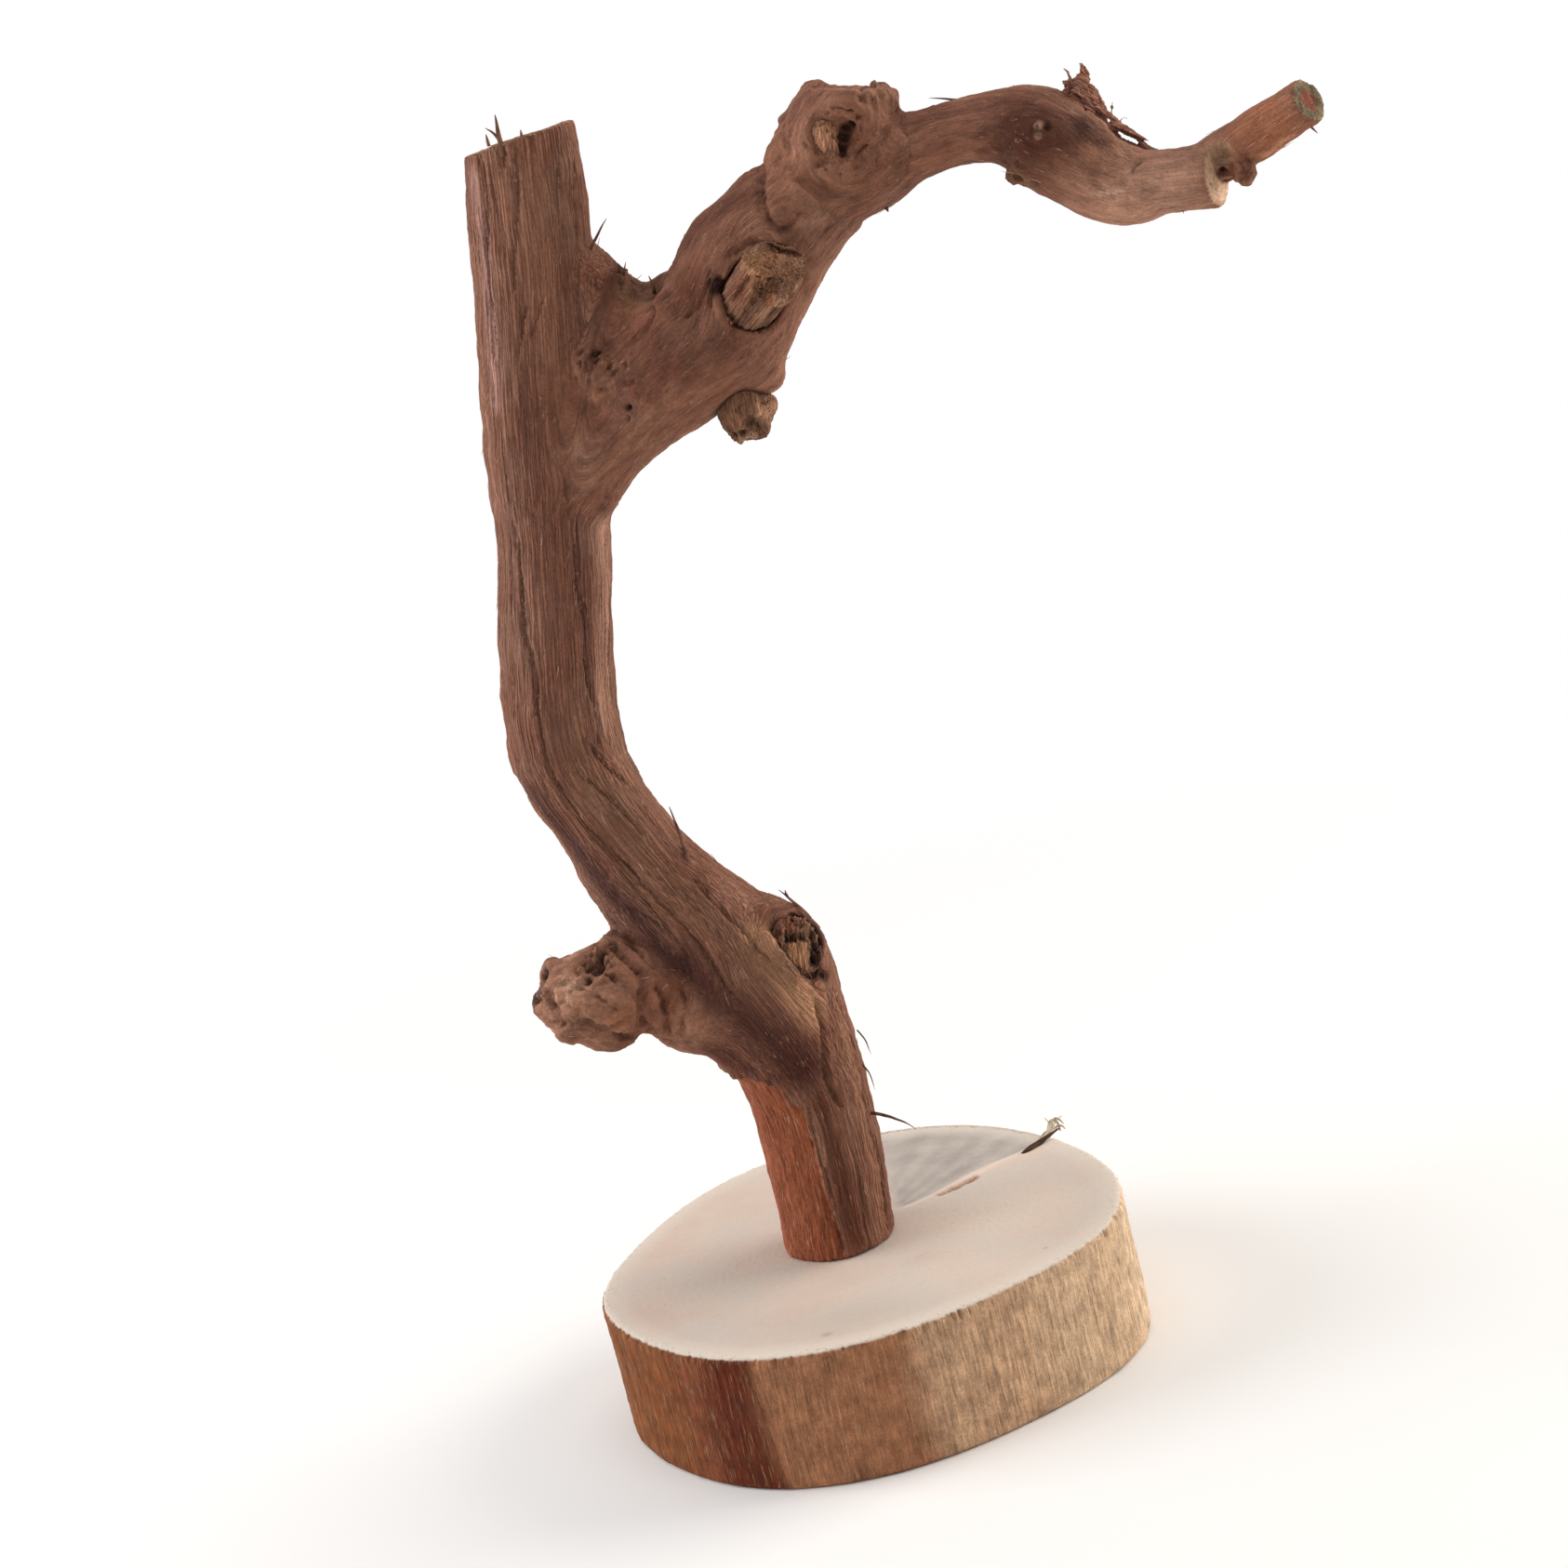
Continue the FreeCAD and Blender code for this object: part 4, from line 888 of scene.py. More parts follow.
def buildBranch():
    obj = copyOfNode("branch", "vine_branch")
    growLumps(obj, branchMake["lumps"], seed=4)
    remeshed(obj, branchMake["voxel"])
    points = pointsOf(obj.data)
    weights, keep = np.zeros(len(points)), np.zeros(len(points))
    for place, reach in branchMake["joints"]:
        weights = np.maximum(weights, fade(gapTo(points, place), reach * mm * 1.5))
    for limbName in ("stem", "arm", "twig", "knuckle"):   # sawn edges stay crisp
        end = branchRails[limbName]["path"][-1]
        keep = np.maximum(keep, fade(np.linalg.norm(points - end[:3], axis=1), end[3] * 1.6))
    atJoints, everywhere = branchMake["soften"]
    softened(obj, weights * (1 - keep), atJoints)
    softened(obj, 1 - keep, everywhere)
    print("branch drawn:", len(obj.data.vertices), "points")

    # the foot is peeled on its left up to a ragged line; sawn ends get rings
    def peelAndEnds(points, normals, layers):
        x, y, z = (points / mm).T
        peel = branchMake["peel"]
        wobble = 0.9 * np.sin(z * 0.9) + 0.6 * np.sin(z * 2.3 + 1) + 0.5 * np.sin(x * 2.1)
        toRight = peel["right"] - x - peel["lean"] * (z - 30) + 0.3 * wobble
        toTop = peel["top"] - peel["fall"] * np.clip(x + 9.5, -3, 12) - z + 1.1 * wobble
        inside = np.minimum(toRight, toTop)
        inside = np.where(y > 3, np.minimum(inside, peel["back"] - y), inside)
        layers["bare"] = np.clip(inside / 0.6 + 0.5, 0, 1) * (z < 80)
        points -= normals * (layers["bare"] * np.clip((z - 30.5) / 8, 0, 1) * peel["depth"] * mm)[:, None]
        points[:, 2] -= np.clip((z - 262) / 8, 0, 1) * np.clip(y + 9, 0, 30) * (x < 5) * branchMake["topTilt"] * mm
        above = np.clip((z - 31) / 6, 0, 1)
        low = (1 - np.clip((z - 30) / 4, 0, 1)) * (1 - np.abs(normals[:, 2]))
        points += normals * (low * branchMake["footSwell"] * mm)[:, None]
        layers["lumpy"] = above
        for place, reach in branchMake["calm"]:
            layers["strands"] = layers["strands"] * (1 - 0.8 * fade(gapTo(points, place), reach * mm * 1.3))
        over = np.zeros((len(points), 4))
        for limbName, (rings, *tones) in branchMake["ends"].items():
            rail = branchRails[limbName]
            offset = points - rail["path"][-1, :3]
            run = offset @ rail["way"][-1]
            span = np.linalg.norm(offset - run[:, None] * rail["way"][-1], axis=1)
            near = (span < rail["path"][-1, 3] * 1.25) * (np.abs(run) < 5 * mm)
            face = np.clip((normals @ rail["way"][-1] - 0.72) / 0.16, 0, 1) * near
            heart, ring, skin = (np.array(linear(tone)[:3]) for tone in tones)
            uneven = 0.06 * np.sin(x * 3.1 + z * 2.3) + 0.05 * np.sin(y * 5.3 - z * 4.1)
            out = (span / rail["path"][-1, 3] + uneven)[:, None]
            tone = heart + (ring - heart) * np.clip((out - 0.42) / 0.2, 0, 1)
            tone = tone + (skin - tone) * np.clip((out - 0.84) / 0.1, 0, 1)
            over[:, :3] = np.where(face[:, None] > over[:, 3:], tone, over[:, :3])
            over[:, 3] = np.maximum(over[:, 3], face)
            layers["cut"] = np.maximum(layers["cut"], face * rings)
            layers["ring"] = np.where(face > 0, span + (1 - rings) * 10 * mm, layers["ring"])
        layers["over"] = over
        layers["strands"] *= (1 - 0.85 * layers["cut"]) * (1 - 0.55 * layers["bare"]) * (0.4 + 0.6 * above)
        layers["hairy"] = layers["hairy"] * (1 - layers["cut"])

    carve(obj, branchMake, branchRails, knots, peelAndEnds)
    return obj


# vine wood, stripped of its outer bark and dried: matt red-brown strands about a millimetre wide,
# purple-brown and tan bands along the limb, pale broken fibres and dark splits

vineWood = {
    "dark": "#623d30", "middle": "#754b39", "tan": "#885c47", "splitAndShade": "#25150e", "fleck": "#b58d74",
    "bareDark": "#66301c", "bareLight": "#935335", "dust": "#94705c", "pith": "#5a4030", "rim": "#452b20",
    # width and length of bands, strands, hairs and specks, mm
    "band": (6.0, 90.0), "cell": (0.65, 22.0), "strand": (0.45, 12.0), "hair": (0.25, 6.0), "speck": (0.5, 3.2),
    "roughness": (0.7, 0.92), "bump": 0.85, "contrast": 0.34, "seam": 0.7, "lift": 1.24, "crack": 0.6, "wrinkle": 0.5,
}


def woodMaterial(name, look):
    wood, tree = newMaterial(name)
    layer = {key: addNode(tree, "Attribute", attribute_name=key).outputs["Fac"]
             for key in ("tintShare", "bare", "strands", "ring", "cut", "worn", "shade")}
    tint = addNode(tree, "Attribute", attribute_name="tint")
    grain = wavyGrain(tree, addNode(tree, "Attribute", attribute_name="grain").outputs["Vector"])
    place = addNode(tree, "TexCoord").outputs["Object"]
    band = strandPattern(tree, grain, *look["band"], 2.0, 0.55, 4.4)
    tones = addNode(tree, "ValToRGB", {0: band})
    stops = tones.color_ramp.elements
    stops[0].position, stops[0].color = 0.3, linear(look["dark"])
    stops[1].position, stops[1].color = 0.72, linear(look["tan"])
    stops.new(0.5).color = linear(look["middle"])
    blotch = strandPattern(tree, place, 13, 13, 3.0, 0.6, 1.0)
    dusty = addNode(tree, "MapRange", {"Value": blotch, "From Min": 0.45, "From Max": 0.75, "To Max": 0.45})
    colour = addNode(tree, "Mix", {0: dusty, 6: tones, 7: linear(look["dust"])}, data_type="RGBA").outputs[2]
    colour = addNode(tree, "Mix", {0: layer["tintShare"], 6: colour, 7: tint}, data_type="RGBA").outputs[2]
    # peeled ground shows fine reddish lines
    strand = strandPattern(tree, grain, *look["strand"], 3.0, 0.6)
    hair = strandPattern(tree, grain, *look["hair"], 2.0, 0.6, 9.0)
    bareTone = addNode(tree, "Mix", {0: strand, 6: linear(look["bareDark"]), 7: linear(look["bareLight"])},
                       data_type="RGBA").outputs[2]
    colour = addNode(tree, "Mix", {0: layer["bare"], 6: colour, 7: bareTone}, data_type="RGBA").outputs[2]
    # strands: dark between, light on the crowns; stronger where the limb shows them
    both = addNode(tree, "Mix", {0: 0.45, 2: strand, 3: hair})
    swing = addNode(tree, "MapRange",
                    {"Value": both, **midNoise, "To Min": 1 - look["contrast"], "To Max": 1 + look["contrast"]})
    crease = wrinklePattern(tree, grain)
    wrinkle = addNode(tree, "MapRange",
                      {"Value": crease, **midNoise, "To Min": 1 - look["wrinkle"], "To Max": 1 + look["wrinkle"]})
    edge, tone = strandCells(tree, grain, *look["cell"])
    seam = addNode(tree, "MapRange",
                   {"Value": edge, "From Min": 0.02, "From Max": 0.17, "To Min": look["seam"], "To Max": 1.03})
    each = addNode(tree, "MapRange", {"Value": tone, "To Min": 0.86, "To Max": 1.15})
    lines = addNode(tree, "Math", {0: seam, 1: each}, operation="MULTIPLY")
    swing = addNode(tree, "Math", {0: swing, 1: lines}, operation="MULTIPLY")
    power = addNode(tree, "MapRange", {"Value": layer["strands"], "To Min": 0.1, "To Max": 1.0})
    gain = addNode(tree, "Mix", {0: power, 2: wrinkle, 3: swing})
    grit = strandPattern(tree, place, 0.5, 0.5, 2.0, 0.6, 7.7)
    grit = addNode(tree, "MapRange",
                   {"Value": grit, **midNoise, "To Min": 0.84 * look["lift"], "To Max": 1.16 * look["lift"]})
    gain = addNode(tree, "Math", {0: gain, 1: grit}, operation="MULTIPLY")
    colour = addNode(tree, "VectorMath", {0: colour, "Scale": gain}, operation="SCALE")
    speck = strandPattern(tree, grain, *look["speck"], 2.0, 0.6, 6.6)
    speck = addNode(tree, "Math", {0: layer["bare"], 1: 0.05, 2: speck}, operation="MULTIPLY_ADD")
    speck = addNode(tree, "MapRange", {"Value": speck, "From Min": 0.65, "From Max": 0.73, "To Max": 0.5})
    colour = addNode(tree, "Mix", {0: speck, 6: colour, 7: linear(look["fleck"])}, data_type="RGBA").outputs[2]
    # sawn ends: rings, a dark pith and a darker skin
    rings = addNode(tree, "Math", {0: layer["ring"], 1: 2 * math.pi / (1.1 * mm)}, operation="MULTIPLY")
    jitter = strandPattern(tree, place, 2.2, 2.2, 2.0, 0.6)
    rings = addNode(tree, "Math", {0: jitter, 1: 7.0, 2: rings}, operation="MULTIPLY_ADD")
    rings = addNode(tree, "Math", {0: rings}, operation="SINE")
    ringGain = addNode(tree, "MapRange", {"Value": rings, "From Min": -1.0, "To Min": 0.72, "To Max": 1.12})
    sawn = addNode(tree, "VectorMath", {0: tint, "Scale": ringGain}, operation="SCALE")
    core = addNode(tree, "MapRange", {"Value": layer["ring"], "From Min": 0.9 * mm, "From Max": 2.0 * mm,
                                      "To Min": 0.85, "To Max": 0.0})
    sawn = addNode(tree, "Mix", {0: core, 6: sawn, 7: linear(look["pith"])}, data_type="RGBA").outputs[2]
    colour = addNode(tree, "Mix", {0: layer["cut"], 6: colour, 7: sawn}, data_type="RGBA").outputs[2]
    # rot and grime in worn places, then the splits together with the painted shade in presses, tears, grooves and
    # contacts
    pits = strandPattern(tree, place, 2.4, 2.4, 3.0, 0.6, 2.2)
    grimeAndShade = addNode(tree, "MapRange", {"Value": pits, "From Min": 0.5, "From Max": 0.3, "To Max": 0.75})
    grimeAndShade = addNode(tree, "Math", {0: grimeAndShade, 1: layer["worn"]}, operation="MULTIPLY")
    colour = addNode(tree, "Mix", {0: grimeAndShade, 6: colour, 7: linear(look["rim"])}, data_type="RGBA").outputs[2]
    crack = addNode(tree, "Math", {0: crackPattern(tree, grain), 1: layer["strands"]}, operation="MULTIPLY")
    crack = addNode(tree, "Math", {0: crack, 1: look["crack"]}, operation="MULTIPLY")
    dim = addNode(tree, "MapRange", {"Value": layer["shade"], "From Min": 0.12, "From Max": 0.8})
    dark = addNode(tree, "Math", {0: crack, 1: dim}, operation="MAXIMUM")
    dark = addNode(tree, "Math", {0: dark, 1: 0.88}, operation="MULTIPLY")
    colour = addNode(tree, "Mix", {0: dark, 6: colour, 7: linear(look["splitAndShade"])}, data_type="RGBA").outputs[2]
    low, high = look["roughness"]
    rough = addNode(tree, "MapRange", {"Value": both, **midNoise, "To Min": high, "To Max": low})
    crown = addNode(tree, "MapRange", {"Value": edge, "From Max": 0.3, "To Max": 0.6})
    height = addNode(tree, "Math", {0: both, 1: crown}, operation="ADD")
    height = addNode(tree, "Mix", {0: power, 2: crease, 3: height})
    height = addNode(tree, "Math", {0: strandPattern(tree, place, 0.9, 0.9, 3.0, 0.65, 3.0), 1: 0.5, 2: height},
                     operation="MULTIPLY_ADD")
    bump = addNode(tree, "Bump", {"Height": height, "Strength": look["bump"], "Distance": 0.5 * mm})
    skin = addNode(tree, "BsdfPrincipled", {"Base Color": colour, "Roughness": rough, "Normal": bump, **dryWood})
    addNode(tree, "OutputMaterial", {"Surface": skin})
    return wood


branchSkin = woodMaterial("vine wood, stripped and dried", vineWood)
branch = buildBranch()
dress(branch, branchSkin)
handOver(branch, ["branch"])


# dead wood of old shoots: grey-tan, coarse open fibres, dark rot in the hollows

deadWood = dict(
    vineWood, dark="#59392a", middle="#7c5640", tan="#9b745a", fleck="#b8937a", splitAndShade="#21140e", rim="#3d271c",
    band=(4.0, 30.0), cell=(0.7, 9.0), strand=(0.5, 10.0), hair=(0.3, 6.0), contrast=0.35, crack=0.0)
deadSkin = woodMaterial("dead vine wood, weathered", deadWood)

# line: run of the grain; soften: smoothing passes; fit: centre, axis, share of the size; the rest as on the branch
deadPieces = {
    "arm_stub": {
        "name": "dead_shoot_stub", "voxel": 0.26, "triangles": 32000, "soften": 26, "hairy": 0.5,
        "line": [(21, -6, 228, 5.8), (28, -17, 235, 6.2), (34, -27, 241, 5.4)],
        "relief": {"Flute depth": 1.9, "Strand depth": 0.4, "Line depth": 1.1, "Pit depth": 1.2, "Grit depth": 0.6},
        "lumps": [((27, -25, 240.4), (2.2, 2.2, 3)), ((31, -26, 233.6), (2.4, 2, 2))],
        "ragged": [((33.4, -24.8, 240.6), 4.4, 26, 1.2, -0.8, 0.15), ((28.5, -26, 235), 4, 16, 0.8, -0.8, 0.3)],
        "stamps": [((33.4, -22.6, 243.6), 3.6, -2, 0), ((35.4, -22.6, 241.4), 3, -1.2, 0),
                   ((28, -25.4, 234.2), 1.8, -1.5, 0.2), ((29.3, -26.3, 235.6), 2, -1.6, 0.25),
                   ((30.8, -26.6, 236.8), 1.5, -1.3, 0.2), ((33.8, -25, 239.2), 1.6, -1, 0.4),
                   ((26.2, -24.4, 236.4), 1, 0.8, 0), ((28.6, -26.4, 239), 1.4, 0.9, 0),
                   ((30.4, -24.6, 232.2), 1.2, 0.9, 0)],
        "grooves": {
            "left": ([(20.5, -17.5, 233.6), (24.4, -22.4, 237), (27, -26, 240)], 0.7, 1.1),
            "middle": ([(23.4, -18.2, 230), (26.6, -22.8, 233.6), (28.4, -25.4, 236)], 0.6, 1),
            "right": ([(27, -18, 228), (30, -22, 231.6), (32.2, -25, 235)], 0.7, 1.1),
            "tip": ([(27.4, -26.4, 240.6), (29.6, -27, 239.6), (31.6, -26.6, 240.4), (33.4, -25.2, 242)], 0.5, 0.8),
        },
        "dabs": [((27.6, -26, 239.4), 5, "#b17d58", 0.9, 1.5), ((22.9, -20.4, 235.2), 6, "#764732", 0.9, 1.5),
                 ((29.6, -24.4, 232.4), 3, "#a36c46", 0.85),
                 ([(27.6, -25.2, 233.8), (29.3, -26.3, 235.6), (31, -26.7, 237)], 2, "#573524", 0.9),
                 ((33.6, -25, 240.4), 4.6, "#a87654", 0.95), ((24.8, -16.7, 227.6), 5, "#6a4938", 0.8)],
    },
    "under_nub": {
        "name": "broken_shoot_nub", "voxel": 0.28, "triangles": 16000, "soften": 16, "hairy": 0.3,
        "line": [(19.5, -2.5, 218, 4.6), (19, -3.5, 208, 5.4), (18.7, -4, 201, 3.4)],
        "relief": {"Flute depth": 0.8, "Strand depth": 0.15, "Line depth": 0.3, "Pit depth": 2.4, "Grit depth": 1.0},
        "lumps": [((23.4, -4.6, 210.2), (2.4, 2.8, 2.2)), ((16.4, -5.4, 207), (2.2, 2.2, 2.2))],
        "ragged": [((18.5, -6, 204.6), 4, 30, 1.4, -1.2, 0.45), ((20, -7.6, 208.4), 4, 26, 1.2, -0.9, 0.35)],
        "stamps": [((19.6, -8.8, 207.6), 1.6, -1.2, 0.5), ((21.4, -7.6, 206), 1.2, -0.8, 0.4),
                   ((17, -8.4, 205.6), 1, -0.6, 0.4)],
        "worn": [((19, -4, 206), 9, 1)],
        # the nub's left is painted darker, partly as painted shade under the shoulder; its right lobe is tan
        "dabs": [((16.4, -8.2, 208.8), 4.5, "#8c6049", 0.9), ((22.9, -7.5, 209.4), 4, "#c49373", 0.9),
                 ((18.3, -7.4, 204.1), 3.4, "#bd9476", 0.9)],
    },
    "lower_knot": {
        "name": "lower_knot_core", "voxel": 0.22, "triangles": 16000, "soften": 8, "hairy": 0.3,
        "fit": [((3.6, -12.8, 100.8), (0.763, 0.613, 0.207), 0.74), ((3.6, -12.8, 100.8), (-0.37, 0.15, 0.92), 1.1)],
        "line": [(1.2, -15.4, 91.5, 6), (6, -10.2, 110.1, 6)],
        "relief": {"Flute depth": 0.8, "Strand depth": 0.7, "Line depth": 1.2, "Pit depth": 1.6, "Grit depth": 0.9},
        "ragged": [((2.1, -12, 105), 3.4, 26, 1, -1.3, 0.6), ((5.8, -12.2, 98.6), 3, 20, 1, -1.4, 0.7)],
        "stamps": [((3.6, -12.8, 100.8), 5, 0.9, 0), ((2.4, -12.8, 102.2), 1.1, -1.2, 0.8),
                   ((4.4, -12.8, 102), 1, -1.1, 0.8), ((0.6, -13.2, 102.6), 0.9, -1, 0.8),
                   ((6.2, -12.2, 98.4), 2, -1.5, 0.75), ((6.6, -11.2, 101.4), 1.5, -1.1, 0.7),
                   ((5.2, -13, 96.2), 1.6, -1.6, 0.9)],
        "worn": [((2.1, -11.9, 105.2), 3.2, 1), ((6, -12, 99), 3, 1)],
        "dabs": [((2.9, -13.7, 99.6), 4.2, "#b3835d", 0.9, 1.4), ((2.1, -11.9, 105.2), 3.8, "#8a5943", 0.9),
                 ((6.6, -12, 99), 2.4, "#553a30", 0.9)],
    },
    "upper_knot": {
        "name": "upper_knot_core", "voxel": 0.2, "triangles": 12000, "soften": 8, "hairy": 0.2,
        "fit": [((45.6, -18, 259.2), (1, 0, 0), 0.5), ((47, -18, 260.2), (0, 0, 1), 0.75)],
        "line": [(46.5, -18, 252, 4), (49.5, -18, 267, 4)],
        "relief": {"Flute depth": 0.6, "Strand depth": 0.5, "Line depth": 0.7, "Pit depth": 0.8, "Grit depth": 0.5},
        "lumps": [((46.6, -17.2, 260.2), (2, 1.8, 3.4)), ((47.4, -16.9, 257.4), (1.4, 1.5, 1.6))],
        "ragged": [((46.8, -18, 259.6), 4, 22, 0.8, -0.5, 0.2)],
        "stamps": [((48.6, -17.8, 259.6), 0.8, -1.2, 0.6)],
        "worn": [((47.4, -18, 256.6), 2.4, 0.4)],
        "dabs": [((46.6, -18.4, 260), 4.6, "#c08a6a", 0.95, 1.3), ((47.6, -18.4, 256.8), 2, "#8f6650", 0.8)],
    },
}
for node, make in deadPieces.items():
    piece = copyOfNode(node, make["name"])
    for centre, axis, share in make.get("fit", ()):   # squeezed or stretched to the photo's width
        points, axis = pointsOf(piece.data), np.array(axis)
        movePoints(piece.data, points + ((share - 1) * ((points - np.array(centre) * mm) @ axis))[:, None] * axis)
    growLumps(piece, make.get("lumps", ()), seed=7)
    remeshed(piece, make["voxel"] * (1))
    softened(piece, np.ones(len(piece.data.vertices)), make["soften"])
    carve(piece, make, {"own": railOf({"line": make["line"], "strands": 1.0})})
    dress(piece, deadSkin)
    handOver(piece, [node])


# outer bark, torn and lifted at the knee: thin layered strips, red-brown with darker edges

barkMake = {
    "voxel": 0.2, "quickVoxel": 0.35, "triangles": 70000, "hairy": 0.6, "facing": (0.45, -0.6, 0.66), "seed": 40,
    "line": [(90, -18, 259, 5), (99, -19.5, 251, 5), (112, -24, 241, 5)],
    # strips: path in mm, width, thickness
    "strips": [
        ([(94, -18.8, 257.4), (95.6, -18.9, 258.8), (96.9, -19.4, 258.4), (97.7, -20, 256), (98.1, -20.8, 253),
          (98.9, -21.6, 250), (100.5, -22.4, 247.2), (102.9, -23.3, 245), (105.9, -24.1, 243),
          (109, -25.5, 241.6)], 4, 0.8),
        ([(95.8, -19.4, 257), (97.4, -19.4, 258.6), (98.3, -19.3, 260), (97.9, -19.1, 262)], 3.4, 0.7),
        ([(94.8, -19.6, 257), (95.3, -20, 259.5), (94.9, -20, 261.1), (94.3, -20, 262.1)], 1.3, 0.5),
        ([(97.6, -19, 258), (99.2, -18.6, 256.8), (100.1, -19.2, 253.6), (100.1, -20, 251),
          (99.4, -21, 247.6)], 2.8, 0.6),
        ([(99.6, -20.5, 248.2), (101.5, -20, 249.6), (101.5, -20, 251.9), (102.5, -20, 254.1)], 0.6, 0.4),
        ([(99, -20.6, 249.6), (101.7, -20.3, 248.6), (103.4, -21.2, 247.9), (105.5, -22.7, 245.2), (107, -24, 243.2),
          (110, -25.4, 241.6)], 2.6, 0.6),
        ([(96.5, -21.5, 252.5), (97.8, -22, 250), (99.4, -22.6, 247.6), (101.2, -23.2, 245.6),
          (104, -24, 243.6)], 3, 0.7),
        ([(102, -21, 248.4), (103.2, -20.6, 250), (104.2, -20.4, 249.4)], 0.5, 0.35),
        ([(94.6, -20, 256.6), (95.8, -20.5, 255.2), (96.8, -20.9, 253.2), (97.6, -21.5, 251),
          (98.8, -22, 248.6)], 3.2, 0.8),
        ([(94.8, -17.4, 257.2), (96, -17.6, 256), (97.2, -18, 253.6), (98.4, -18.7, 250.6)], 3, 0.8),
        ([(98.8, -21.2, 253.4), (100.8, -21.2, 251.2), (102.4, -21.7, 248.8), (104.4, -22.4, 246.8),
          (107.2, -23.6, 244.6)], 2.4, 0.5),
        ([(97.4, -20.2, 256.4), (99.4, -20, 254.6), (100.9, -20.2, 252.4), (100.6, -20.8, 250.4)], 2.2, 0.5),
    ],
    "relief": {"Flute depth": 0.3, "Strand depth": 0.4, "Line depth": 0.4, "Crack depth": 0.2, "Pit depth": 0.5,
               "Grit depth": 0.4},
    "worn": [((99, -20, 250), 16, 0.6)],
    "dabs": [((94, -22, 260.5), 2.5, "#5a3d39", 0.9), ((98, -19, 260), 3, "#9a6a52", 0.7),
             ((103, -23.4, 244.6), 4, "#6a4438", 0.6), ((99, -22, 251), 4, "#a07060", 0.6)],
}
barkLook = dict(vineWood, dark="#74483a", middle="#986654", tan="#b27e68", band=(2.2, 18.0), strand=(0.7, 14.0),
                hair=(0.35, 6.0), contrast=0.45)
form = bmesh.new()
for i, (path, width, thick) in enumerate(barkMake["strips"]):
    addStrand(form, path, width, thick, barkMake["facing"], tip=0.2, sides=12, wander=0.22, seed=barkMake["seed"] + i)
shreds = newPiece("torn_bark_shreds", form)
remeshed(shreds, barkMake["voxel"])
carve(shreds, barkMake, {"own": railOf({"line": barkMake["line"], "strands": 1.0})})
dress(shreds, woodMaterial("vine bark, torn and dry", barkLook))
handOver(shreds, ["bark_flap"])


# splinters and single fibres that stand off the branch

splinterMake = {
    "facing": (0.2, -0.9, 0.3), "wide": 1.3, "thin": 0.8, "seed": 70,
    "dark": "#4c3128", "pale": "#8b6350", "patch": 3.0,
    # path in mm, thickness
    "paths": {
        "uprightSpike": ([(-14.9, -7.6, 270.5), (-14.7, -7.2, 275), (-14.4, -6.8, 278.7)], 0.9),
        "uprightSpikeSide": ([(-14.8, -7.2, 273.5), (-15.6, -7.2, 275.5), (-17, -7.4, 276.6)], 0.5),
        "uprightBitA": ([(-17.1, -6.4, 273), (-17.2, -6.4, 275.4)], 0.6),
        "uprightBitB": ([(-10.4, -8.2, 273), (-10.3, -8.4, 274.9)], 0.5),
        "crotchFibre": ([(-3.4, 0, 247.5), (-1.4, 0, 249.9), (1.5, 0, 253.2)], 0.5),
        "crotchFibreLow": ([(1.5, 0, 240), (2.6, -0.5, 242.6), (3.2, -1, 244)], 0.4),
        "crotchTip": ([(7.2, -2, 236.5), (7.4, -2, 238), (6.9, -2, 240.4)], 0.6),
        "neckTop": ([(75, -10.5, 259.6), (72.6, -10, 260.4), (68.7, -10, 261.6)], 0.4),
        "neckKnotA": ([(55.3, -11, 246), (55.3, -12.4, 243.6), (55.6, -13, 242.4)], 1.4),
        "stemSplinter": ([(-14.6, -7, 117.5), (-14.9, -6.2, 121.5), (-14.9, -5.2, 126.6), (-15.7, -4, 133.4)], 0.9),
        "bossSplinter": ([(6.9, -6.5, 103.4), (6, -6.7, 105.4), (4.4, -6.8, 107.7), (2.7, -6.8, 110.2),
                          (1.9, -6.8, 111.3)], 0.6),
        "bossSplinterFork": ([(3.4, -6.8, 109.2), (3.1, -6.8, 110.2), (3.2, -6.8, 111)], 0.4),
        "footFibre": ([(6.5, -4, 58.6), (9.5, -7, 58.6), (12.5, -10, 58.2), (16, -14, 57.2), (17.4, -16, 56.2)], 0.6),
        "twigFibre": ([(133.4, -43.6, 244.5), (134.3, -44, 242.6), (135.5, -44, 240.8)], 0.6),
        "armFibre": ([(109.6, -30, 232.5), (109.8, -30.4, 230.4)], 0.35),
        "footHairA": ([(10.6, -6, 77), (11.8, -6, 74.8), (12.2, -6, 71)], 0.3),
        "footHairB": ([(9.6, -6, 70), (11, -6, 67), (11.2, -6, 63)], 0.3),
        "elbowStrip": ([(-28.8, -4.6, 152), (-27.6, -5, 150.4), (-25.8, -4.6, 147), (-23, -3.4, 143)], 0.6),
    },
}


# torn fibre ends: thin, straight, tan to dark brown in patches
def fibreMaterial(name, look):
    fibre, tree = newMaterial(name)
    place = addNode(tree, "TexCoord").outputs["Object"]
    patch = strandPattern(tree, place, look["patch"], look["patch"], 2.0, 0.6, 2.0)
    share = addNode(tree, "MapRange", {"Value": patch, "From Min": 0.35, "From Max": 0.65})
    colour = addNode(tree, "Mix", {0: share, 6: linear(look["dark"]), 7: linear(look["pale"])},
                     data_type="RGBA").outputs[2]
    rough = addNode(tree, "MapRange", {"Value": patch, "To Min": 0.7, "To Max": 0.9})
    bump = addNode(tree, "Bump",
                   {"Height": strandPattern(tree, place, 0.3, 0.3), "Strength": 0.3, "Distance": 0.1 * mm})
    skin = addNode(tree, "BsdfPrincipled", {"Base Color": colour, "Roughness": rough, "Normal": bump, **dryWood})
    addNode(tree, "OutputMaterial", {"Surface": skin})
    return fibre


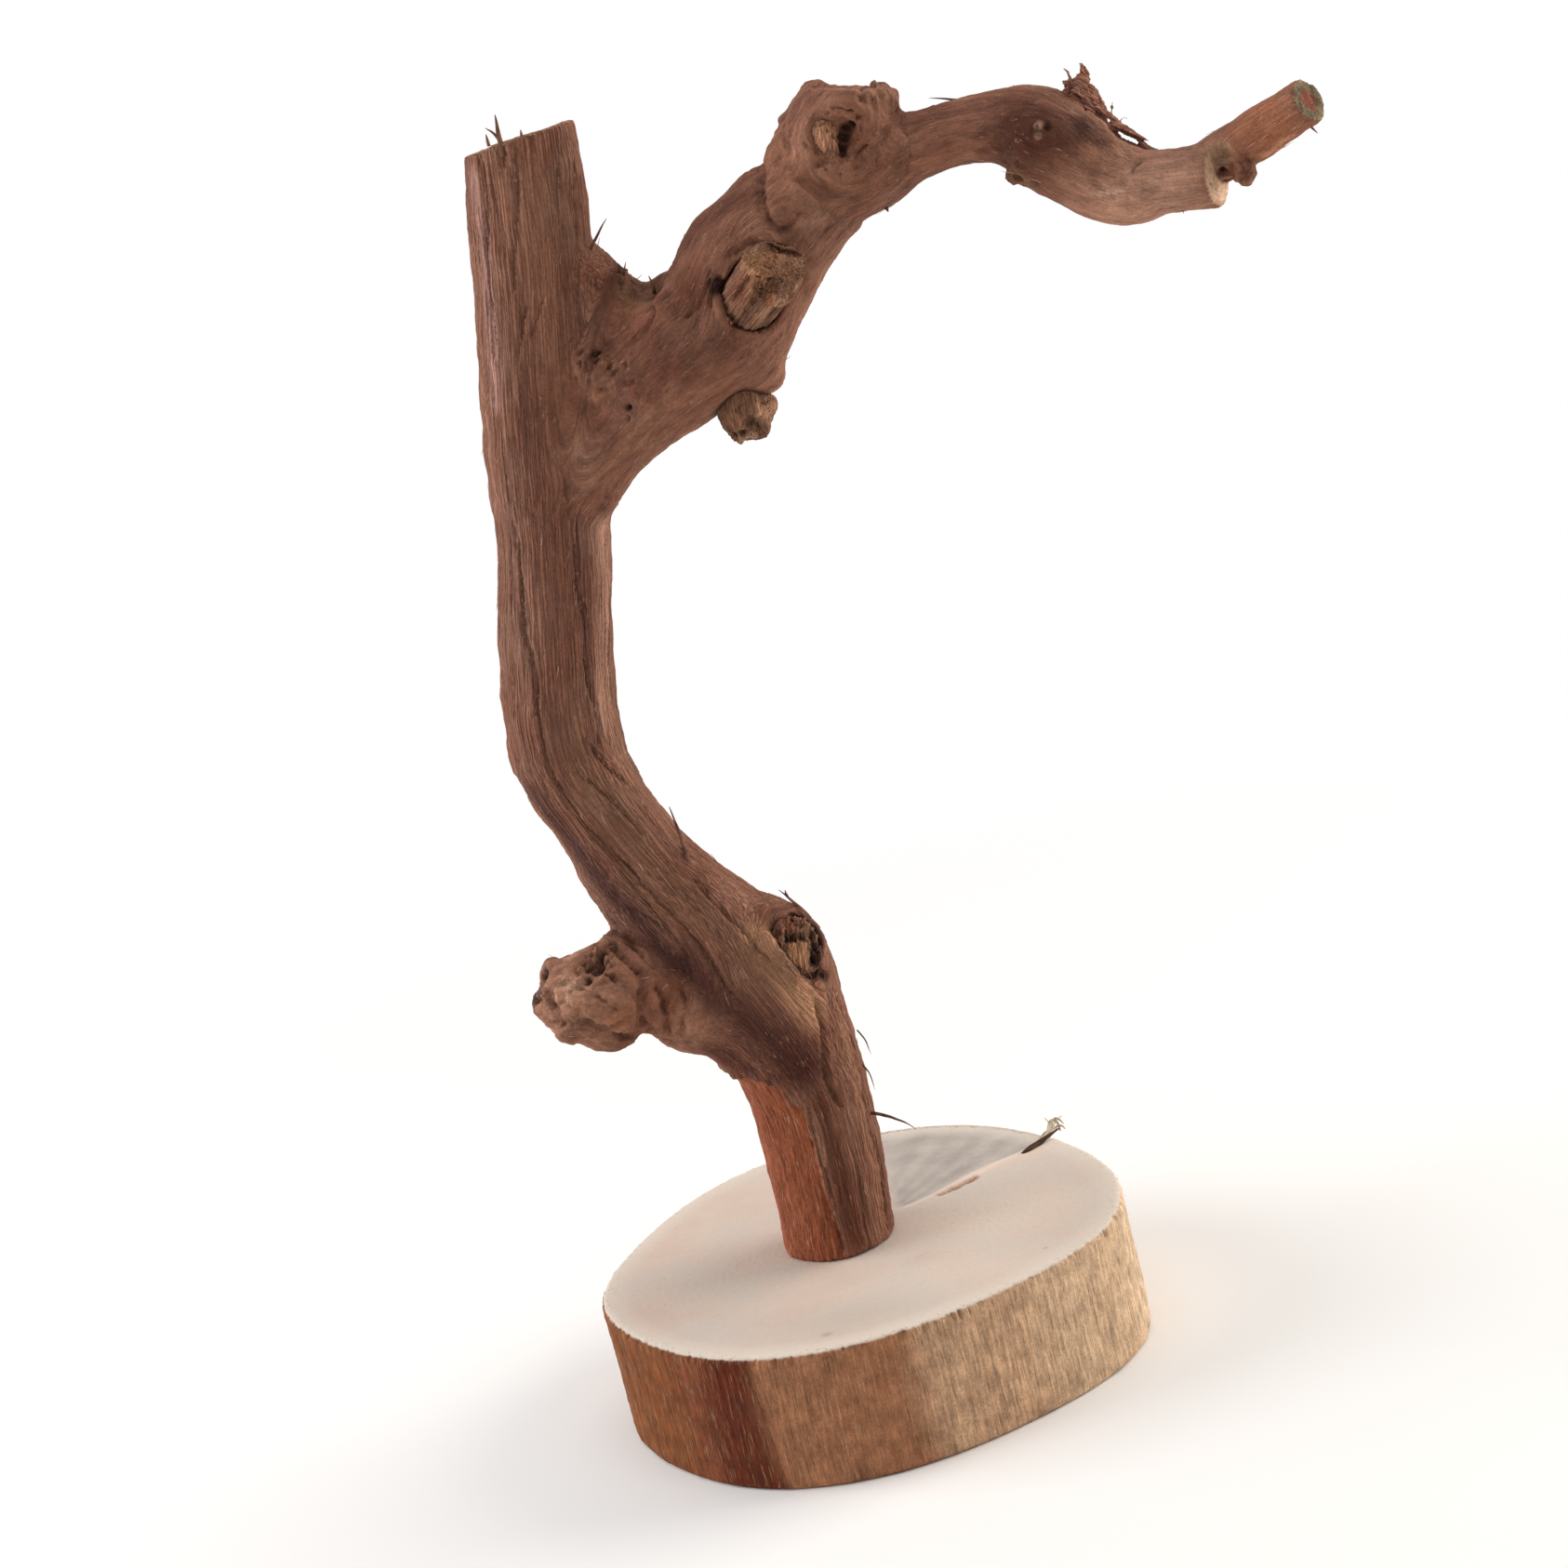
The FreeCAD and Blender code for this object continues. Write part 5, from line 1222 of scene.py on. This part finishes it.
form = bmesh.new()
for i, (path, thick) in enumerate(splinterMake["paths"].values()):
    width, thick = thick * splinterMake["wide"], thick * splinterMake["thin"]
    addStrand(form, path, width, thick, splinterMake["facing"], tip=0.15, wander=0.06, seed=splinterMake["seed"] + i)
splinters = newPiece("standing_splinters", form)
thinned(splinters, strandTriangles)
dress(splinters, fibreMaterial("vine splinters, torn", splinterMake))
handOver(splinters)


# loose fibres scattered where the surface is marked hairy, lying along the grain

def buildFibreTree(skin):
    tree, start, end = newTree("looseFibres", ("Density", "Length", "Thickness", "Lift", "Stray", "Bend"), True)
    hairy = addNode(tree, "GeometryNodeInputNamedAttribute", {"Name": "hairy"}, data_type="FLOAT")
    along = addNode(tree, "GeometryNodeInputNamedAttribute", {"Name": "along"}, data_type="FLOAT_VECTOR")
    density = addNode(tree, "Math", {0: hairy, 1: start.outputs["Density"]}, operation="MULTIPLY")
    dots = addNode(tree, "GeometryNodeDistributePointsOnFaces",
                   {"Mesh": start.outputs["Geometry"], "Density": density, "Seed": start.outputs["Seed"]})
    flip = addNode(tree, "FunctionNodeRandomValue", {"Min": (-1, -1, -1), "Max": (1, 1, 1), "Seed": 3},
                   data_type="FLOAT_VECTOR")
    sign = addNode(tree, "Math", {0: addNode(tree, "SeparateXYZ", {0: flip}).outputs[0]}, operation="SIGN")
    ahead = addNode(tree, "VectorMath", {0: along, "Scale": sign}, operation="SCALE")
    lifted = addNode(tree, "VectorMath", {0: dots.outputs["Normal"], "Scale": start.outputs["Lift"]},
                     operation="SCALE")
    stray = addNode(tree, "VectorMath", {0: flip, "Scale": start.outputs["Stray"]}, operation="SCALE")
    aim = addNode(tree, "VectorMath", {0: ahead, 1: lifted}, operation="ADD")
    aim = addNode(tree, "VectorMath", {0: aim, 1: stray}, operation="ADD")
    turn = addNode(tree, "FunctionNodeAlignRotationToVector", {"Vector": aim}, axis="Z")
    share = addNode(tree, "FunctionNodeRandomValue", {2: 0.3, 3: 1.0, "Seed": 5}, data_type="FLOAT")
    long = addNode(tree, "Math", {0: share.outputs[1], 1: start.outputs["Length"]}, operation="MULTIPLY")
    size = addNode(tree, "CombineXYZ", {0: start.outputs["Thickness"], 1: start.outputs["Thickness"], 2: long})
    size = addNode(tree, "VectorMath", {0: size, "Scale": mm}, operation="SCALE")
    spike = addNode(tree, "GeometryNodeMeshCone",
                    {"Vertices": 4, "Side Segments": 4, "Radius Top": 0.15, "Radius Bottom": 0.5, "Depth": 1.0})
    strewn = addNode(tree, "GeometryNodeInstanceOnPoints",
                     {"Points": dots, "Instance": spike, "Rotation": turn, "Scale": size})
    real = addNode(tree, "GeometryNodeRealizeInstances", {0: strewn})
    drift = strandPattern(tree, addNode(tree, "GeometryNodeInputPosition"), 2.2, 2.2, 1.0).outputs[1]
    drift = addNode(tree, "VectorMath", {0: drift, 1: (0.5, 0.5, 0.5)}, operation="SUBTRACT")
    bend = addNode(tree, "Math", {0: start.outputs["Bend"], 1: mm}, operation="MULTIPLY")
    drift = addNode(tree, "VectorMath", {0: drift, "Scale": bend}, operation="SCALE")
    bent = addNode(tree, "GeometryNodeSetPosition", {"Geometry": real, "Offset": drift})
    dressed = addNode(tree, "GeometryNodeSetMaterial", {"Geometry": bent, "Material": skin})
    tree.links.new(dressed.outputs[0], end.inputs[0])
    return tree


def growFibres(name, host, skin, sizes):
    obj = bpy.data.objects.new(name, host.data.copy())
    bpy.context.scene.collection.objects.link(obj)
    runTree(obj, buildFibreTree(skin), sizes)
    dress(obj, skin)
    thinned(obj, strandTriangles)
    return obj


branchFibres = {
    "Density": 40000.0, "Length": 3.4, "Thickness": 0.17, "Lift": 0.1, "Stray": 0.2, "Bend": 0.9, "Seed": 11,
    "dark": "#84604c", "pale": "#d2ae97", "patch": 5.0,
}
fibres = growFibres("branch_fibres", branch, fibreMaterial("vine fibres, torn and pale", branchFibres), branchFibres)
handOver(fibres)


# slice: sanded end grain on top, stripped bast fibres round the side

sliceMake = {
    "voxel": 0.48, "quickVoxel": 0.8, "triangles": 196000, "height": 30.0,
    "relief": {"Flute depth": 0.8, "Strand depth": 0.16, "Line depth": 0.3, "Crack depth": 0.3, "Pit depth": 0.4,
               "Grit depth": 0.6},
    # nicks in the edge, steps round the rim, height and depth in mm at the ridge, strength of the grey bands
    "nicks": 420, "nickSeed": 21, "rimParts": 240, "ridgeHeight": 0.3, "wedgeDepth": 0.55, "fanWave": 0.036,
    "ridge": ((10.3, 7.5), (47.5, 26.5)),   # step between the sanded face and the grey wedge behind it
    "grooves": {
        "brownSlit": ([(19.5, 9.4, 30), (23.7, 11.6, 30), (28.6, 14.4, 30)], 0.7, 0.9),
        "scratch": ([(9.4, -22, 30), (12.2, -19.8, 30), (14.8, -18.3, 30)], 0.3, 0.15),
    },
    # colours round the side, as on the branch: darker at the left front and paler at the right, partly the bark's own
    # tone and partly painted shade and light
    "dabs": [
        ((-56, -8, 15), 30, "#78431d", 1), ((-48, -28, 15), 24, "#723d18", 1), ((-40, -40, 15), 9, "#743c20", 0.8, 4),
        ((-34, -46, 12), 13, "#561f06", 0.9, 2), ((-10, -56, 15), 24, "#a06d4d", 1),
        ((22, -52, 15), 24, "#c09a79", 1), ((45, -36, 15), 26, "#c6a686", 1), ((60, -8, 15), 28, "#d3b697", 1),
        ((56, 20, 15), 26, "#c9a680", 1), ((30, 45, 15), 30, "#b68c68", 1), ((-10, 55, 15), 30, "#a97b59", 1),
        ((-45, 35, 15), 32, "#a67452", 1),
    ],
    # stains on the sanded face, stretched in x, with the face greyer in front and paler at the right, and the
    # sliver's painted shadow last
    "stainsAndShading": [
        ((-34, -34, 30), 16, "#beb7ae", 0.5, 1.5), ((-5, -42, 30), 14, "#b9ada0", 0.6, 2.5),
        ((20, -35, 30), 16, "#d6c6b6", 0.4, 2), ((-38, 5, 30), 16, "#d3b9aa", 0.2),
        ((32, -10, 30), 20, "#e6d3c1", 0.75, 1.5), ((12, -22, 30), 5, "#c6aa99", 0.35, 1.5),
        ((-10.5, -47.6, 30), 1.6, "#8f8a84", 0.6, 1.2), ((-26.6, -1, 30), 0.8, "#b08878", 0.4, 0.3),
        ((37.3, -32.2, 30), 0.7, "#7d746c", 0.8),
        ([(12, 8, 30), (19, 11, 30), (30, 17, 30), (42, 24.6, 30)], 2, "#e2cdbd", 0.75),
        ([(19.5, 9.4, 30), (23.7, 11.6, 30), (28.6, 14.4, 30)], 1.5, "#93644a", 0.95),
        # painted shadow of the sliver lying on the face
        ([(40, 21.4, 30), (44.4, 24, 30), (48.4, 27, 30)], 1.3, "#7d6252", 0.8),
    ],
}


def buildSlice():
    obj = copyOfNode("base_slice", "base_wood_slice")
    remeshed(obj, sliceMake["voxel"])
    softened(obj, np.ones(len(obj.data.vertices)), 5)
    rails = {"own": railOf({"line": [(0, 0, -5, 56), (0, 0, 40, 56)], "strands": 1.0})}

    def faceAndSide(points, normals, layers):
        chance = np.random.default_rng(sliceMake["nickSeed"])
        x, y, z = (points / mm).T
        angle, radius = np.arctan2(y, x), np.hypot(x, y)
        top = (normals[:, 2] > 0.85) & (z > sliceMake["height"] - 1.5)
        parts = sliceMake["rimParts"]
        bins = ((angle + math.pi) / (2 * math.pi) * parts).astype(int) % parts
        rim = np.zeros(parts)
        np.maximum.at(rim, bins[top], radius[top])
        rim = (rim + np.roll(rim, 1) + np.roll(rim, -1)) / 3
        middles = np.linspace(-math.pi, math.pi, parts + 1) + math.pi / parts
        rimAt = np.interp(angle, middles, np.append(rim, rim[0]), period=2 * math.pi)
        inward = np.clip(rimAt - radius, -5, 200)
        side = np.clip((0.75 - np.abs(normals[:, 2])) / 0.3, 0, 1) * (radius > 30)
        layers["strands"] = side
        layers["inward"] = np.where(top, inward, 0)
        layers["face"] = np.clip((normals[:, 2] - 0.55) / 0.25, 0, 1)
        # nicks torn out of the upper edge, most in front and on the right, each with a little painted shade in its
        # deeper part
        outward = np.stack([np.cos(angle), np.sin(angle), 0 * angle], axis=1)
        edge = np.nonzero((radius > 30) & (z > 24))[0]
        for _ in range(sliceMake["nicks"]):
            spot = chance.uniform(-math.pi, math.pi)
            if -0.9 * math.pi > spot or spot > 0.05 * math.pi:
                if chance.uniform() < 0.7:
                    continue
            wide, tall = chance.uniform(0.25, 0.42), 0.5 + 2.2 * chance.uniform() ** 2
            deep = chance.uniform(0.15, 0.6)
            across = (np.angle(np.exp(1j * (angle[edge] - spot)))) * radius[edge]
            below = sliceMake["height"] - z[edge]
            press = np.exp(-(across / wide) ** 2) * np.clip((tall - below) / 0.8, 0, 1)
            press *= np.clip((4.0 - inward[edge]) / 2.0, 0, 1) * (0.3 + 0.7 * np.clip((below - 0.1) / 0.5, 0, 1))
            points[edge] -= outward[edge] * (press * deep * mm)[:, None]
            layers["shade"][edge] = np.maximum(layers["shade"][edge], press * 0.3 * (below > 0.35))
        # the wedge behind the ridge is lower and grey
        (ax, ay), (bx, by) = sliceMake["ridge"]
        long = math.hypot(bx - ax, by - ay)
        t = ((x - ax) * (bx - ax) + (y - ay) * (by - ay)) / long ** 2
        off = ((y - ay) * (bx - ax) - (x - ax) * (by - ay)) / long + 0.8 * np.sin(t * 9)
        inWedge = np.clip(off / 2.5, 0, 1) * np.clip((t + 0.12) / 0.15, 0, 1)
        inWedge *= np.clip((x - 6) / 5, 0, 1) * top
        ridge = np.exp(-((off + 1.6) / 2.4) ** 2) * np.clip(t * 5, 0, 1) * top
        points[:, 2] += (sliceMake["ridgeHeight"] * ridge - sliceMake["wedgeDepth"] * inWedge) * mm
        layers["wedge"], layers["ridge"] = inWedge, ridge * (0.75 + 0.25 * np.sin(off * 5 + t * 4))
        fan = np.arctan2(y - 2, x - 2)   # weathered bands fan out from the foot of the branch
        waves = chance.uniform((6, 0, -0.4), (44, 6.3, 0.4), (8, 3))
        bands = sum(np.sin(fan * often + start + 0.05 * radius * slope) for often, start, slope in waves)
        layers["fan"] = 0.5 + sliceMake["fanWave"] * bands
        tufted = (0.5 + 0.5 * np.sin(angle * 7 + z * 0.3)) * np.clip((x + 30) / 50, 0, 1)
        layers["hairy"] = side * (0.02 + 0.98 * tufted)
        layers["hairy"] *= np.clip((z - 4.5) / 2, 0, 1) * np.clip((28 - z) / 2, 0, 1)
        layers["worn"] = np.maximum(side * 0.5, np.clip(1 - inward / 3.0, 0, 1) * top)
        layers["plain"] = (z < 1.0) & (radius < rimAt - 2)

    carve(obj, sliceMake, rails, (), faceAndSide)
    mesh = obj.data
    points = pointsOf(mesh)
    points[:, 2] = np.maximum(points[:, 2], 0)   # the underside stays flat on the floor
    movePoints(mesh, points)
    # stains and the painted shadow are painted over the finished face
    colour, share = sumDabs(points, np.array([[1.0, 0, 0]]), sliceMake["stainsAndShading"])
    paint(mesh, "stainAndShading", colour, "FLOAT_COLOR")
    paint(mesh, "stainAndShadingShare", share)
    return obj


# poplar slice, sawn and sanded: chalky cream end grain without clear rings, a whiter frayed rim,
# grey weathered wedge; side shows straw to brown bast fibres running upwards
sliceLook = {
    "cream": "#d2bfb0", "warm": "#d0b9a9", "cool": "#cdc0b4", "rim": "#dccfc0", "rimSpeck": "#a58a70",
    "wedge": "#9f968e", "wedgePale": "#c0b4a9", "ridge": "#dbc4b2", "nickAndShade": "#8a6042",
    "fibrePale": "#d8b588", "fibreDark": "#7c563a",
}


def sliceMaterial(name, look):
    wood, tree = newMaterial(name)
    layer = {key: addNode(tree, "Attribute", attribute_name=key).outputs["Fac"]
             for key in ("face", "inward", "wedge", "ridge", "fan", "shade", "stainAndShadingShare")}
    tint = addNode(tree, "Attribute", attribute_name="tint")
    stainAndShading = addNode(tree, "Attribute", attribute_name="stainAndShading")
    place = addNode(tree, "TexCoord").outputs["Object"]
    # sanded face
    cloud = strandPattern(tree, place, 24, 24, 3.0, 0.6, 4.0)
    fine = strandPattern(tree, place, 1.2, 1.2, 3.0, 0.65, 1.0)
    tones = addNode(tree, "ValToRGB", {0: cloud})
    stops = tones.color_ramp.elements
    stops[0].position, stops[0].color = 0.35, linear(look["warm"])
    stops[1].position, stops[1].color = 0.66, linear(look["cool"])
    stops.new(0.5).color = linear(look["cream"])
    streak = addNode(tree, "Math", {0: strandPattern(tree, place, 7, 7, 3.0, 0.6, 2.0), 1: 0.9, 2: layer["fan"]},
                     operation="MULTIPLY_ADD")
    streak = addNode(tree, "MapRange", {"Value": streak, "From Min": 0.68, "From Max": 1.26})
    grey = addNode(tree, "Mix", {0: streak, 6: linear(look["wedge"]), 7: linear(look["wedgePale"])},
                   data_type="RGBA").outputs[2]
    edge = addNode(tree, "MapRange",
                   {"Value": layer["inward"], "From Min": 0.6, "From Max": 6.0, "To Min": 0.8, "To Max": 0.0})
    speck = addNode(tree, "MapRange", {"Value": fine, "From Min": 0.58, "From Max": 0.68})
    close = addNode(tree, "MapRange",
                    {"Value": layer["inward"], "From Min": 0.3, "From Max": 3.2, "To Min": 0.7, "To Max": 0.0})
    speck = addNode(tree, "Math", {0: speck, 1: close}, operation="MULTIPLY")
    face = tones
    for share, tone in ((layer["wedge"], grey), (layer["ridge"], linear(look["ridge"])), (layer["stainAndShadingShare"], stainAndShading),
                        (edge, linear(look["rim"])), (speck, linear(look["rimSpeck"]))):
        face = addNode(tree, "Mix", {0: share, 6: face, 7: tone}, data_type="RGBA").outputs[2]
    dull = addNode(tree, "MapRange", {"Value": fine, **midNoise, "To Min": 0.96, "To Max": 1.03})
    face = addNode(tree, "VectorMath", {0: face, "Scale": dull}, operation="SCALE")
    # fibrous side
    grain = wavyGrain(tree, addNode(tree, "Attribute", attribute_name="grain").outputs["Vector"])
    strand = strandPattern(tree, grain, 0.6, 8, 3.0, 0.6)
    hair = strandPattern(tree, grain, 0.3, 4, 2.0, 0.6, 9.0)
    both = addNode(tree, "Mix", {0: 0.5, 2: strand, 3: hair})
    blotch = strandPattern(tree, place, 4, 4, 3.0, 0.6, 9.0)
    fuzz = strandPattern(tree, place, 0.5, 0.5, 2.0, 0.65, 3.0)
    bast = tint
    for pattern, low, high in ((both, 0.56, 1.4), (blotch, 0.72, 1.26), (fuzz, 0.82, 1.18)):
        gain = addNode(tree, "MapRange", {"Value": pattern, **midNoise, "To Min": low, "To Max": high})
        bast = addNode(tree, "VectorMath", {0: bast, "Scale": gain}, operation="SCALE")
    pale = strandPattern(tree, grain, 0.4, 5, 2.0, 0.6, 5.0)
    deep = strandPattern(tree, grain, 0.5, 6, 2.0, 0.6, 7.0)
    for pattern, low, high, most, tone in ((pale, 0.58, 0.72, 0.28, "fibrePale"),
                                           (deep, 0.42, 0.3, 0.5, "fibreDark")):
        share = addNode(tree, "MapRange", {"Value": pattern, "From Min": low, "From Max": high, "To Max": most})
        bast = addNode(tree, "Mix", {0: share, 6: bast, 7: linear(look[tone])}, data_type="RGBA").outputs[2]
    colour = addNode(tree, "Mix", {0: layer["face"], 6: bast, 7: face}, data_type="RGBA").outputs[2]
    # short dark strokes just below the sanded edge
    rise = addNode(tree, "SeparateXYZ", {0: place}).outputs[2]
    rise = addNode(tree, "MapRange", {"Value": rise, "From Min": 25.5 * mm, "From Max": 29.7 * mm, "To Max": 0.2})
    torn = addNode(tree, "Math", {0: strandPattern(tree, grain, 0.45, 3.2, 2.0, 0.6, 13.0), 1: rise}, operation="ADD")
    torn = addNode(tree, "MapRange", {"Value": torn, "From Min": 0.7, "From Max": 0.8, "To Max": 0.36})
    side = addNode(tree, "Math", {0: 1.0, 1: layer["face"]}, operation="SUBTRACT")
    torn = addNode(tree, "Math", {0: torn, 1: side}, operation="MULTIPLY")
    # painted shade in the nicks and grooves takes the same colour as the strokes
    dim = addNode(tree, "MapRange", {"Value": layer["shade"], "From Min": 0.1, "From Max": 0.8, "To Max": 0.85})
    dim = addNode(tree, "Math", {0: dim, 1: torn}, operation="MAXIMUM")
    colour = addNode(tree, "Mix", {0: dim, 6: colour, 7: linear(look["nickAndShade"])}, data_type="RGBA").outputs[2]
    rugged = addNode(tree, "Math", {0: fuzz, 1: 1.2, 2: both}, operation="MULTIPLY_ADD")
    height = addNode(tree, "Mix", {0: layer["face"], 2: rugged, 3: fine})
    rough = addNode(tree, "MapRange", {"Value": both, **midNoise, "To Min": 0.9, "To Max": 0.74})
    bump = addNode(tree, "Bump", {"Height": height, "Strength": 0.35, "Distance": 0.35 * mm})
    skin = addNode(tree, "BsdfPrincipled", {"Base Color": colour, "Roughness": rough, "Normal": bump, **dryWood})
    addNode(tree, "OutputMaterial", {"Surface": skin})
    return wood


woodSlice = buildSlice()
dress(woodSlice, sliceMaterial("poplar slice, sawn and sanded", sliceLook))
handOver(woodSlice, ["base_slice"])

sideFibres = {
    "Density": 40000.0, "Length": 4.0, "Thickness": 0.12, "Lift": 0.05, "Stray": 0.12, "Bend": 0.8, "Seed": 5,
    "dark": "#9c7150", "pale": "#cfae8b", "patch": 6.0,
}
bastSkin = fibreMaterial("bast fibres, straw and brown", sideFibres)
bast = growFibres("slice_side_fibres", woodSlice, bastSkin, sideFibres)
handOver(bast)

# curled tuft torn up at the back edge of the slice
tuftMake = {"seed": 90, "triangles": 20000, "dark": "#a58f72", "pale": "#d9ccb4", "patch": 2.0, "strands": [
    ([(44.6, 26.6, 29.6), (46.4, 28.9, 30.3), (47.1, 30, 32), (48.1, 30.5, 32.9), (49.1, 30.3, 32.1),
      (49.3, 30, 30.8), (49.1, 29.6, 29.6)], 1),
    ([(45.4, 27, 29.6), (47, 29.2, 30.6), (47.9, 30, 32.5), (48.8, 30.2, 33.2), (49.8, 29.9, 32.6),
      (50.2, 29.5, 31.1)], 0.8),
    ([(45.8, 27.4, 29.6), (47.7, 29.2, 30.4), (48.9, 30, 31.3), (50, 29.7, 31), (50.4, 29.3, 30)], 0.8),
    ([(43.9, 27, 29.6), (45.7, 29.6, 30.2), (47.5, 30.4, 30.5), (48.9, 30, 30.1)], 0.8),
    ([(46.4, 28.6, 29.9), (47.3, 29.8, 31.8), (47, 30.2, 32.9), (46.3, 30.4, 33.4)], 0.45),
    ([(46.8, 28.8, 29.9), (48.2, 29.6, 31.6), (49.3, 29.8, 32.9), (50.4, 29.6, 33.2)], 0.4),
]}
form = bmesh.new()
for i, (path, thick) in enumerate(tuftMake["strands"]):
    addStrand(form, path, thick, thick * 0.45, (0, -1, 0.2), tip=0.3, wander=0.1, seed=tuftMake["seed"] + i)
tuft = newPiece("slice_edge_tuft", form)
thinned(tuft, tuftMake["triangles"])
dress(tuft, fibreMaterial("bast tuft, dry", tuftMake))
handOver(tuft)

# dark sliver lying before the tuft
sliverMake = {
    "path": [(39.6, 20.6, 30.1), (41.4, 21.7, 30.6), (44.3, 23.8, 30.9), (47.2, 26.2, 31.1), (48.8, 27.6, 31.2)],
    "width": 1.5, "thick": 0.9, "facing": (0, -0.6, 0.8), "seed": 97, "dark": "#2b1a13", "pale": "#4f3426",
    "patch": 2.0,
}
form = bmesh.new()
addStrand(form, sliverMake["path"], sliverMake["width"], sliverMake["thick"], sliverMake["facing"],
          tip=0.25, wander=0.1, seed=sliverMake["seed"])
sliver = newPiece("slice_edge_sliver", form)
dress(sliver, fibreMaterial("bast sliver, stained", sliverMake))
handOver(sliver)


# screws: zinc-plated steel, turned and passivated, with a fine satin haze
screwLook = {"dark": "#a9adb2", "light": "#c9cbcd", "haze": 1.5, "roughness": (0.28, 0.48)}


def steelMaterial(look):
    steel, tree = newMaterial("steel, zinc plated")
    place = addNode(tree, "TexCoord").outputs["Object"]
    haze = strandPattern(tree, place, look["haze"], look["haze"], 3.0, 0.6)
    colour = addNode(tree, "Mix", {0: haze, 6: linear(look["dark"]), 7: linear(look["light"])},
                     data_type="RGBA").outputs[2]
    low, high = look["roughness"]
    rough = addNode(tree, "MapRange", {"Value": haze, "To Min": low, "To Max": high})
    skin = addNode(tree, "BsdfPrincipled", {"Base Color": colour, "Roughness": rough, "Metallic": 1.0})
    addNode(tree, "OutputMaterial", {"Surface": skin})
    return steel


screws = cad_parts["fixing_screws"]
if screws.material_slots:
    screws.material_slots[0].material = steelMaterial(screwLook)
else:
    screws.data.materials.append(steelMaterial(screwLook))
print("screws plated")
